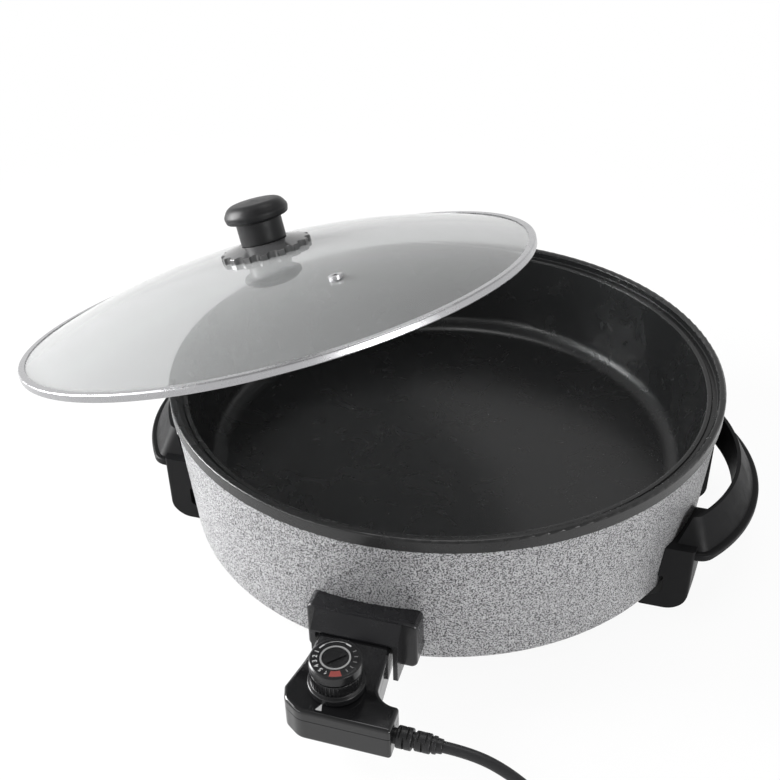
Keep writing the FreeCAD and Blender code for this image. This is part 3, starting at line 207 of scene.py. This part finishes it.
def make_drawn_lines():
    """Fine drawn or turned lines across one axis, for steel, brass and aluminium."""
    group, given, out = new_group(
        "Drawn lines",
        [("Place", "Vector", None), ("Stretch", "Vector", (1.0, 1.0, 1.0)), ("Line mm", "Float", 0.3)],
        [("Lines", "Float")],
    )
    place = scaled_place(group, given.outputs["Place"], given.outputs["Line mm"])
    drawn = add_node(group, "ShaderNodeVectorMath", (-300, 0), {"operation": "MULTIPLY"})
    join(group, place, drawn.inputs[0])
    join(group, given.outputs["Stretch"], drawn.inputs[1])
    lines = add_node(group, "ShaderNodeTexNoise", (0, 0), Scale=1.0, Detail=3.0, Roughness=0.6)
    join(group, drawn.outputs[0], lines.inputs["Vector"])
    join(group, lines.outputs[0], out.inputs["Lines"])
    return group


grain_group = make_moulded_grain()
marks_group = make_handling_marks()
hammer_group = make_hammered_enamel()
lines_group = make_drawn_lines()


def new_material(name, base, roughness=0.4, metallic=0.0, **shader_inputs):
    """A material with its own Principled shader and Object coordinates."""
    material = bpy.data.materials.new(name)
    material.use_nodes = True
    tree = material.node_tree
    tree.nodes.clear()
    shader = add_node(tree, "ShaderNodeBsdfPrincipled", (300, 0))
    shader.inputs["Base Color"].default_value = (*base, 1.0)
    shader.inputs["Roughness"].default_value = roughness
    shader.inputs["Metallic"].default_value = metallic
    for label, value in shader_inputs.items():
        shader.inputs[label.replace("_", " ")].default_value = value
    output = add_node(tree, "ShaderNodeOutputMaterial", (700, 0))
    output.name = "end"
    join(tree, shader.outputs[0], output.inputs["Surface"])
    where = add_node(tree, "ShaderNodeTexCoord", (-1100, 0))
    return material, tree, shader, where.outputs["Object"]


def use_group(tree, group, place, spot=(-700, 0), **values):
    node = add_node(tree, "ShaderNodeGroup", spot)
    node.node_tree = group
    for label, value in values.items():
        node.inputs[label.replace("_", " ")].default_value = value
    join(tree, place, node.inputs["Place"])
    return node


def bump_from(tree, shader, height, depth_mm):
    bump = add_node(tree, "ShaderNodeBump", (50, -350), Strength=1.0, Distance=depth_mm * MM)
    join(tree, height, bump.inputs["Height"])
    join(tree, bump.outputs[0], shader.inputs["Normal"])


def tinted(tree, mask, dark, light):
    """Mix of two colours by a mask that changes over the surface."""
    mix = add_node(tree, "ShaderNodeMix", (-100, 200), {"data_type": "RGBA"})
    mix.inputs[6].default_value = (*dark, 1.0)
    mix.inputs[7].default_value = (*light, 1.0)
    join(tree, mask, mix.inputs[0])
    return mix.outputs[2]


def moulded_plastic(name, dark, light, clean, marked, grain_mm, depth_mm, **shader_inputs):
    material, tree, shader, place = new_material(name, dark, **shader_inputs)
    grain = use_group(tree, grain_group, place, (-700, 200), Grain_mm=grain_mm)
    marks = use_group(tree, marks_group, place, (-700, -100), Clean=clean, Marked=marked)
    join(tree, tinted(tree, grain.outputs["Patch"], dark, light), shader.inputs["Base Color"])
    join(tree, marks.outputs["Roughness"], shader.inputs["Roughness"])
    bump_from(tree, shader, grain.outputs["Height"], depth_mm)
    return material


def plain_metal(name, dark, light, clean, marked, stretch, line_mm, depth_mm):
    material, tree, shader, place = new_material(name, light, metallic=1.0)
    lines = use_group(tree, lines_group, place, (-700, 200), Stretch=stretch, Line_mm=line_mm)
    marks = use_group(tree, marks_group, place, (-700, -100), Clean=clean, Marked=marked)
    join(tree, tinted(tree, lines.outputs["Lines"], dark, light), shader.inputs["Base Color"])
    join(tree, marks.outputs["Roughness"], shader.inputs["Roughness"])
    bump_from(tree, shader, lines.outputs["Lines"], depth_mm)
    return material


def make_hammered_silver():
    ripple_mm = 0.95
    relief_mm = 0.22
    material, tree, shader, place = new_material("hammered silver", (0.6, 0.6, 0.6), metallic=0.5)
    enamel = use_group(tree, hammer_group, place, Cell_mm=ripple_mm)
    join(tree, enamel.outputs["Colour"], shader.inputs["Base Color"])
    join(tree, enamel.outputs["Roughness"], shader.inputs["Roughness"])
    bump_from(tree, shader, enamel.outputs["Height"], relief_mm)
    return material


def make_pan_coating():
    """Sprayed non-stick coating: semi-matte, with a fine even speckle."""
    speckle_mm = 0.03
    material, tree, shader, place = new_material(
        "non-stick coating", (0.015, 0.015, 0.015), Specular_IOR_Level=0.5
    )
    grain = use_group(tree, grain_group, place, (-700, 200), Grain_mm=0.5, Patch_mm=40.0)
    marks = use_group(tree, marks_group, place, (-700, -100), Size_mm=30.0, Clean=0.25, Marked=0.29)
    tone = tinted(tree, grain.outputs["Patch"], (0.0075, 0.0075, 0.0076), (0.0095, 0.0095, 0.0098))
    join(tree, tone, shader.inputs["Base Color"])
    join(tree, marks.outputs["Roughness"], shader.inputs["Roughness"])
    bump_from(tree, shader, grain.outputs["Height"], speckle_mm)
    return material


def make_lid_glass():
    """Tempered glass with a grey veil that is painted reflection, standing in for the studio's glare,
    over faint random wiping marks; clear to shadow rays.
    """
    # Grey base with a 22% diffuse share: a painted reflection veil; the Dust mask only adds faint
    # random wiping marks
    material, tree, shader, place = new_material(
        "tempered glass", (0.425, 0.43, 0.43), roughness=0.04, Transmission_Weight=0.78, IOR=1.45
    )
    marks = use_group(tree, marks_group, place, Size_mm=70.0, Clean=0.02, Marked=0.06)
    tone = tinted(tree, marks.outputs["Dust"], (0.425, 0.43, 0.43), (0.44, 0.445, 0.445))
    join(tree, tone, shader.inputs["Base Color"])
    join(tree, marks.outputs["Roughness"], shader.inputs["Roughness"])
    rays = add_node(tree, "ShaderNodeLightPath", (200, 400))
    clear = add_node(tree, "ShaderNodeBsdfTransparent", (300, -500))
    clear.inputs["Color"].default_value = (0.8, 0.82, 0.82, 1.0)
    mix = add_node(tree, "ShaderNodeMixShader", (500, 200))
    join(tree, rays.outputs["Is Shadow Ray"], mix.inputs[0])
    join(tree, shader.outputs[0], mix.inputs[1])
    join(tree, clear.outputs[0], mix.inputs[2])
    join(tree, mix.outputs[0], tree.nodes["end"].inputs["Surface"])
    return material


hammered_silver = make_hammered_silver()
pan_coating = make_pan_coating()
tempered_glass = make_lid_glass()
handle_plastic = moulded_plastic(
    "handle plastic",
    dark=(0.005, 0.005, 0.0055), light=(0.009, 0.009, 0.0095),
    clean=0.4, marked=0.52, grain_mm=0.45, depth_mm=0.02, Specular_IOR_Level=0.1,
)
guard_plastic = moulded_plastic(
    "guard plastic",
    dark=(0.006, 0.006, 0.007), light=(0.01, 0.01, 0.011),
    clean=0.2, marked=0.32, grain_mm=0.5, depth_mm=0.012, Specular_IOR_Level=0.38,
)
controller_gloss = moulded_plastic(
    "controller gloss plastic",
    dark=(0.005, 0.005, 0.0055), light=(0.007, 0.007, 0.0075),
    clean=0.05, marked=0.12, grain_mm=0.9, depth_mm=0.002,
)
dial_plastic = moulded_plastic(
    "dial plastic",
    dark=(0.005, 0.005, 0.0055), light=(0.009, 0.009, 0.0095),
    clean=0.2, marked=0.3, grain_mm=0.5, depth_mm=0.01, Specular_IOR_Level=0.36,
)
knob_plastic = moulded_plastic(
    "knob plastic",
    dark=(0.006, 0.006, 0.0065), light=(0.01, 0.01, 0.011),
    clean=0.38, marked=0.48, grain_mm=0.5, depth_mm=0.02, Specular_IOR_Level=0.26,
)
# Grey base well above the other black plastics: painted sheen, standing in for the light the flange's
# glossy top reflects
flange_plastic = moulded_plastic(
    "heat guard plastic",
    dark=(0.045, 0.045, 0.046), light=(0.06, 0.06, 0.061),
    clean=0.12, marked=0.18, grain_mm=0.9, depth_mm=0.003, Specular_IOR_Level=0.8,
)
cord_rubber = moulded_plastic(
    "cord sheath",
    dark=(0.008, 0.008, 0.009), light=(0.014, 0.014, 0.015),
    clean=0.36, marked=0.5, grain_mm=0.5, depth_mm=0.02, Specular_IOR_Level=0.36,
)
plug_plastic = moulded_plastic(
    "plug plastic",
    dark=(0.009, 0.009, 0.0095), light=(0.015, 0.015, 0.016),
    clean=0.34, marked=0.46, grain_mm=0.5, depth_mm=0.03, Specular_IOR_Level=0.36,
)
band_steel = plain_metal(
    "band steel",
    dark=(0.36, 0.36, 0.37), light=(0.46, 0.46, 0.47),
    clean=0.24, marked=0.32, stretch=(1.0, 1.0, 0.2), line_mm=0.6, depth_mm=0.004,
)
fixing_steel = plain_metal(
    "fixing steel",
    dark=(0.4, 0.4, 0.41), light=(0.56, 0.56, 0.57),
    clean=0.25, marked=0.4, stretch=(1.0, 1.0, 1.0), line_mm=0.3, depth_mm=0.01,
)
element_steel = plain_metal(
    "element sheath",
    dark=(0.2, 0.19, 0.18), light=(0.34, 0.32, 0.3),
    clean=0.35, marked=0.55, stretch=(1.0, 1.0, 0.4), line_mm=0.8, depth_mm=0.02,
)
spreader_aluminium = plain_metal(
    "spreader aluminium",
    dark=(0.55, 0.55, 0.56), light=(0.7, 0.7, 0.71),
    clean=0.3, marked=0.5, stretch=(1.0, 0.1, 1.0), line_mm=0.5, depth_mm=0.02,
)
contact_brass = plain_metal(
    "contact brass",
    dark=(0.55, 0.42, 0.2), light=(0.72, 0.56, 0.28),
    clean=0.25, marked=0.4, stretch=(1.0, 0.3, 1.0), line_mm=0.3, depth_mm=0.01,
)
pin_steel = plain_metal(
    "pin steel",
    dark=(0.6, 0.6, 0.6), light=(0.76, 0.76, 0.77),
    clean=0.15, marked=0.3, stretch=(1.0, 1.0, 1.0), line_mm=0.3, depth_mm=0.01,
)
ceramic = moulded_plastic(
    "bead ceramic",
    dark=(0.7, 0.69, 0.65), light=(0.8, 0.79, 0.75),
    clean=0.25, marked=0.4, grain_mm=0.8, depth_mm=0.02,
)
print_white = moulded_plastic(
    "white print",
    dark=(0.3, 0.3, 0.3), light=(0.38, 0.38, 0.38),
    clean=0.4, marked=0.5, grain_mm=0.4, depth_mm=0.004,
)
print_pale = moulded_plastic(
    "pale ring print",
    dark=(0.17, 0.17, 0.17), light=(0.23, 0.23, 0.23),
    clean=0.3, marked=0.4, grain_mm=0.4, depth_mm=0.004,
)
print_grey = moulded_plastic(
    "grey print",
    dark=(0.06, 0.06, 0.06), light=(0.1, 0.1, 0.1),
    clean=0.4, marked=0.5, grain_mm=0.4, depth_mm=0.004,
)
print_red = moulded_plastic(
    "red print",
    dark=(0.15, 0.02, 0.015), light=(0.2, 0.025, 0.02),
    clean=0.4, marked=0.5, grain_mm=0.4, depth_mm=0.004,
)

finishes = {
    "inner_pan": pan_coating,
    "outer_shell": hammered_silver,
    "heat_plate": spreader_aluminium,
    "heating_element": element_steel,
    "terminal_pins": pin_steel,
    "pin_insulators": ceramic,
    "probe_tube": spreader_aluminium,
    "base_studs": fixing_steel,
    "base_washers": fixing_steel,
    "base_nuts": fixing_steel,
    "handle_right": handle_plastic,
    "handle_left": handle_plastic,
    "handle_screws": fixing_steel,
    "handle_brackets": fixing_steel,
    "socket_guard": guard_plastic,
    "guard_screws": fixing_steel,
    "controller_lower_shell": controller_gloss,
    "controller_upper_shell": controller_gloss,
    "housing_screws": fixing_steel,
    "thermostat_switch": dial_plastic,
    "probe_rod": pin_steel,
    "contact_sleeves": contact_brass,
    "dial_spindle": contact_brass,
    "dial": dial_plastic,
    "dial_ring": print_pale,
    "dial_cap": dial_plastic,
    "strain_relief": cord_rubber,
    "cord_clamp": dial_plastic,
    "lid_glass": tempered_glass,
    "lid_band": band_steel,
    "vent_eyelet": band_steel,
    "knob_flange": flange_plastic,
    "knob": knob_plastic,
    "knob_insert": contact_brass,
    "knob_washer": cord_rubber,
    "knob_screw": fixing_steel,
    "coil_tie": dial_plastic,
    "plug_body": plug_plastic,
    "plug_pins": pin_steel,
}
for node_name, material in finishes.items():
    mesh = nodes[node_name].data
    mesh.materials.clear()
    mesh.materials.append(material)


# Camera at the photograph's place

camera_data = bpy.data.cameras.new("camera")
camera_data.lens = 50.4
camera_data.sensor_width = 36.0
camera = bpy.data.objects.new("camera", camera_data)
camera.location = (0.1641, -0.6582, 0.5444)
camera.rotation_euler = Euler([math.radians(a) for a in (56.3768, 0.9517, 16.7855)])
bpy.context.scene.collection.objects.link(camera)
bpy.context.scene.camera = camera


# The cord: the route as listed points, the coil's turns by a loop, and the tail up to the plug

cord_diameter = 6.8
cord_route = [
    (68.5, -267.0, 34.4),
    (86.0, -267.0, 34.4),
    (107.0, -268.6, 27.6),
    (127.0, -273.2, 16.6),
    (147.0, -280.4, 7.4),
    (168.0, -287.5, 4.2),
    (189.0, -291.0, 4.2),
]
coil_centre = Vector((188.145, -337.492, 4.2))
coil_outer_r = 46.0
coil_pitch = 7.4
coil_first_deg = 80.54
coil_layer_turns = 1.75
cord_tail = [
    (222.0, -296.5, 11.6),
    (241.8, -297.4, 16.1),
    (262.0, -296.9, 18.6),
    (280.448, -298.467, 18.6),
]


def coil_points(per_turn=16):
    """Spiral in on the lower layer, climb half a turn, and spiral out on the upper one."""
    inner_r = coil_outer_r - coil_pitch * coil_layer_turns
    inward = 2 * math.pi * coil_layer_turns
    climb = math.pi
    total = 2 * inward + climb
    count = int(round(per_turn * total / (2 * math.pi)))
    points = []
    for i in range(count + 1):
        swept = total * i / count
        if swept < inward:
            radius = coil_outer_r - coil_pitch * swept / (2 * math.pi)
            rise = 0.0
        elif swept < inward + climb:
            risen = swept - inward
            radius = inner_r - coil_pitch / (2 * math.pi) * (risen - risen * risen / climb)
            share = risen / climb
            rise = coil_pitch * share * share * (3 - 2 * share)
        else:
            radius = inner_r + coil_pitch * (swept - inward - climb) / (2 * math.pi)
            rise = coil_pitch
        turn = math.radians(coil_first_deg) - swept
        spread = 1 / math.cos(math.pi / per_turn / 2) ** 2
        spot = Vector((radius * spread * math.cos(turn), radius * spread * math.sin(turn), rise))
        points.append(coil_centre + spot)
    return points


def make_cord():
    curve = bpy.data.curves.new("mains_cord", "CURVE")
    curve.dimensions = "3D"
    curve.bevel_depth = cord_diameter / 2 * MM
    curve.bevel_resolution = 6
    curve.resolution_u = 8
    curve.use_fill_caps = True
    line = curve.splines.new("NURBS")
    points = [Vector(p) for p in cord_route] + coil_points() + [Vector(p) for p in cord_tail]
    line.points.add(len(points) - 1)
    for spot, point in zip(line.points, points):
        spot.co = (*(point * MM), 1.0)
    line.order_u = 3
    line.use_endpoint_u = True
    cord = bpy.data.objects.new("mains_cord", curve)
    bpy.context.scene.collection.objects.link(cord)
    curve.materials.append(cord_rubber)
    return cord


mains_cord = make_cord()
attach(mains_cord, "controller")
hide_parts("cord", "cord_coil", "cord_tail")


# Printed marks: scale, red spot and arcs on the dial, and the pointer on the housing

dial_face = Vector((0.0, -250.5, 69.0)) * MM
housing_top = 46.9 * MM
print_lift = 0.04 * MM
digit_height_mm = 2.7
digit_r = 11.9
first_digit_deg = 172
digit_step_deg = 18


def printed_arc(shape, radius, width, first_deg, last_deg):
    """Flat printed stroke along part of a circle on the dial's face, as a thin slab."""
    inner = (radius - width / 2) * MM
    outer = (radius + width / 2) * MM
    turn = Matrix.Rotation(math.radians(first_deg), 3, "Z")
    low, high = -print_lift, print_lift
    corners = [(inner, 0, low), (outer, 0, low), (outer, 0, high), (inner, 0, high)]
    loop = [shape.verts.new(turn @ Vector(corner)) for corner in corners]
    section = shape.faces.new(loop)
    steps = max(2, int(abs(last_deg - first_deg) / 4))
    bmesh.ops.spin(
        shape,
        geom=[section, *section.edges, *section.verts],
        cent=(0, 0, 0),
        axis=(0, 0, 1),
        angle=math.radians(last_deg - first_deg),
        steps=steps,
        use_duplicate=False,
    )


def printed_digit(shape, number, height_mm, radius, degrees):
    """One generic number of the dial's scale, its foot towards the middle."""
    letter = bpy.data.curves.new("digit", "FONT")
    letter.body = str(number)
    letter.size = height_mm * MM * 1.4
    letter.align_x = "CENTER"
    letter.align_y = "CENTER"
    letter.extrude = print_lift
    letter.offset = 0.09 * MM
    holder = bpy.data.objects.new("digit", letter)
    flat = bpy.data.meshes.new_from_object(holder)
    turn = Matrix.Rotation(math.radians(degrees), 4, "Z")
    place = Matrix.Translation((radius * MM, 0, 0)) @ Matrix.Rotation(math.radians(-90), 4, "Z")
    flat.transform(turn @ place)
    shape.from_mesh(flat)
    bpy.data.objects.remove(holder)
    bpy.data.meshes.remove(flat)
    bpy.data.curves.remove(letter)


def finish_print(shape, name, place, body, material):
    bmesh.ops.recalc_face_normals(shape, faces=shape.faces[:])
    bmesh.ops.translate(shape, verts=shape.verts[:], vec=place)
    mesh = bpy.data.meshes.new(name)
    shape.to_mesh(mesh)
    shape.free()
    mark = bpy.data.objects.new(name, mesh)
    bpy.context.scene.collection.objects.link(mark)
    mesh.materials.append(material)
    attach(mark, body)
    return mark


def make_dial_scale():
    shape = bmesh.new()
    for i in range(6):
        printed_digit(shape, i + 1, digit_height_mm, digit_r, first_digit_deg + digit_step_deg * i)
    for first, last in ((140, 158), (60, 78)):
        printed_arc(shape, 12.2, 0.9, first, last)
    printed_arc(shape, 12.4, 0.25, 78, 140)
    return finish_print(shape, "dial_scale", dial_face, "dial", print_white)


def make_dial_far_scale():
    """Fainter strokes on the far side of the dial's scale."""
    shape = bmesh.new()
    for middle in (40, 20, 0, -20, -38):
        printed_arc(shape, 12.0, 2.2, middle - 1.6, middle + 1.6)
    return finish_print(shape, "dial_far_scale", dial_face, "dial", print_grey)


def make_dial_red_spot():
    shape = bmesh.new()
    printed_arc(shape, 12.2, 4.2, -86, -56)
    return finish_print(shape, "dial_red_spot", dial_face, "dial", print_red)


def make_pointer():
    shape = bmesh.new()
    corners = [(-3.4, -266.8), (-6.0, -271.8), (-2.1, -271.8)]
    foot = [shape.verts.new((x * MM, y * MM, -print_lift)) for x, y in corners]
    plate = shape.faces.new(foot)
    grown = bmesh.ops.extrude_face_region(shape, geom=[plate])
    tops = [part for part in grown["geom"] if isinstance(part, bmesh.types.BMVert)]
    bmesh.ops.translate(shape, verts=tops, vec=(0, 0, 2 * print_lift))
    return finish_print(shape, "dial_pointer", Vector((0, 0, housing_top)), "controller", print_white)


make_dial_scale()
make_dial_far_scale()
make_dial_red_spot()
make_pointer()


# Floor, light and background

floor_half = 6.0
floor_drop = 0.1 * MM
floor_glow_near = 0.92


def seen_rays(tree, rays):
    """1 for rays that should find a white background: seen, mirrored or through glass."""
    total = rays.outputs["Is Camera Ray"]
    for label in ("Is Glossy Ray", "Is Transmission Ray"):
        larger = add_node(tree, "ShaderNodeMath", (-400, 400), {"operation": "MAXIMUM"})
        join(tree, total, larger.inputs[0])
        join(tree, rays.outputs[label], larger.inputs[1])
        total = larger.outputs[0]
    return total


def make_floor():
    """White floor that keeps the shadow, glows more with distance and is clear from below."""
    mesh = bpy.data.meshes.new("floor")
    shape = bmesh.new()
    bmesh.ops.create_grid(shape, x_segments=2, y_segments=2, size=floor_half)
    bmesh.ops.translate(shape, verts=shape.verts[:], vec=(0, 0, -floor_drop))
    shape.to_mesh(mesh)
    shape.free()
    floor = bpy.data.objects.new("floor", mesh)
    bpy.context.scene.collection.objects.link(floor)
    material, tree, shader, place = new_material("white floor", (0.9, 0.9, 0.9), roughness=0.7)
    rays = add_node(tree, "ShaderNodeLightPath", (200, 400))
    glow = add_node(tree, "ShaderNodeEmission", (300, -400))
    glow.inputs["Color"].default_value = (1.0, 1.0, 1.0, 1.0)
    glow.inputs["Strength"].default_value = 1.0
    far = add_node(tree, "ShaderNodeVectorMath", (-300, -400), {"operation": "LENGTH"})
    join(tree, place, far.inputs[0])
    glowing = add_node(tree, "ShaderNodeMapRange", (0, -400), {"interpolation_type": "SMOOTHSTEP"})
    join(tree, far.outputs["Value"], glowing.inputs["Value"])
    glowing.inputs["From Min"].default_value = 0.35
    glowing.inputs["From Max"].default_value = 0.9
    glowing.inputs["To Min"].default_value = floor_glow_near
    share = add_node(tree, "ShaderNodeMath", (450, 400), {"operation": "MULTIPLY"})
    join(tree, seen_rays(tree, rays), share.inputs[0])
    join(tree, glowing.outputs[0], share.inputs[1])
    mix = add_node(tree, "ShaderNodeMixShader", (500, 200))
    join(tree, share.outputs[0], mix.inputs[0])
    join(tree, shader.outputs[0], mix.inputs[1])
    join(tree, glow.outputs[0], mix.inputs[2])
    side = add_node(tree, "ShaderNodeNewGeometry", (200, 700))
    clear = add_node(tree, "ShaderNodeBsdfTransparent", (500, -400))
    from_below = add_node(tree, "ShaderNodeMixShader", (600, 200))
    join(tree, side.outputs["Backfacing"], from_below.inputs[0])
    join(tree, mix.outputs[0], from_below.inputs[1])
    join(tree, clear.outputs[0], from_below.inputs[2])
    join(tree, from_below.outputs[0], tree.nodes["end"].inputs["Surface"])
    mesh.materials.append(material)
    return floor


def add_area_light(name, place, target, size, watts):
    data = bpy.data.lights.new(name, "AREA")
    data.shape = "RECTANGLE"
    data.size, data.size_y = size
    data.energy = watts
    lamp = bpy.data.objects.new(name, data)
    lamp.location = place
    heading = Vector(target) - Vector(place)
    lamp.rotation_euler = heading.to_track_quat("-Z", "Y").to_euler()
    bpy.context.scene.collection.objects.link(lamp)
    return lamp


def make_world():
    """White where the camera looks; mirrored and refracted rays find it darker overhead."""
    world = bpy.data.worlds.new("studio")
    bpy.context.scene.world = world
    world.use_nodes = True
    tree = world.node_tree
    tree.nodes.clear()
    rays = add_node(tree, "ShaderNodeLightPath", (-600, 200))
    soft = add_node(tree, "ShaderNodeBackground", (-200, -100), Strength=0.5)
    soft.inputs["Color"].default_value = (1.0, 1.0, 1.0, 1.0)
    heading = add_node(tree, "ShaderNodeTexCoord", (-1000, 0))
    parts = add_node(tree, "ShaderNodeSeparateXYZ", (-800, 0))
    join(tree, heading.outputs["Generated"], parts.inputs[0])
    white = add_node(tree, "ShaderNodeBackground", (-200, 100), Strength=1.0)
    stops = [(0.0, 1.0), (0.14, 1.0), (0.5, 0.62), (1.0, 0.35)]
    height = grey_ramp(tree, parts.outputs["Z"], stops, (-600, 0))
    plain = add_node(tree, "ShaderNodeMix", (-350, 250), {"data_type": "RGBA"})
    join(tree, rays.outputs["Is Camera Ray"], plain.inputs[0])
    join(tree, height, plain.inputs[6])
    plain.inputs[7].default_value = (1.0, 1.0, 1.0, 1.0)
    join(tree, plain.outputs[2], white.inputs["Color"])
    mix = add_node(tree, "ShaderNodeMixShader", (0, 0))
    join(tree, seen_rays(tree, rays), mix.inputs[0])
    join(tree, soft.outputs[0], mix.inputs[1])
    join(tree, white.outputs[0], mix.inputs[2])
    end = add_node(tree, "ShaderNodeOutputWorld", (200, 0))
    join(tree, mix.outputs[0], end.inputs["Surface"])


make_floor()
make_world()
add_area_light("left window", (-1.3, -0.22, 0.5), (0, -0.05, 0.08), (0.7, 0.9), 47)
add_area_light("left strip", (-0.72, -0.82, 0.34), (0, -0.27, 0.05), (0.75, 0.1), 2.2)
add_area_light("right window", (1.2, -0.75, 0.25), (0, 0, 0.06), (0.6, 0.4), 10)
add_area_light("overhead", (0.1, 0.5, 1.9), (0, 0, 0.1), (1.2, 0.8), 9)

bpy.context.scene.view_settings.view_transform = "Standard"
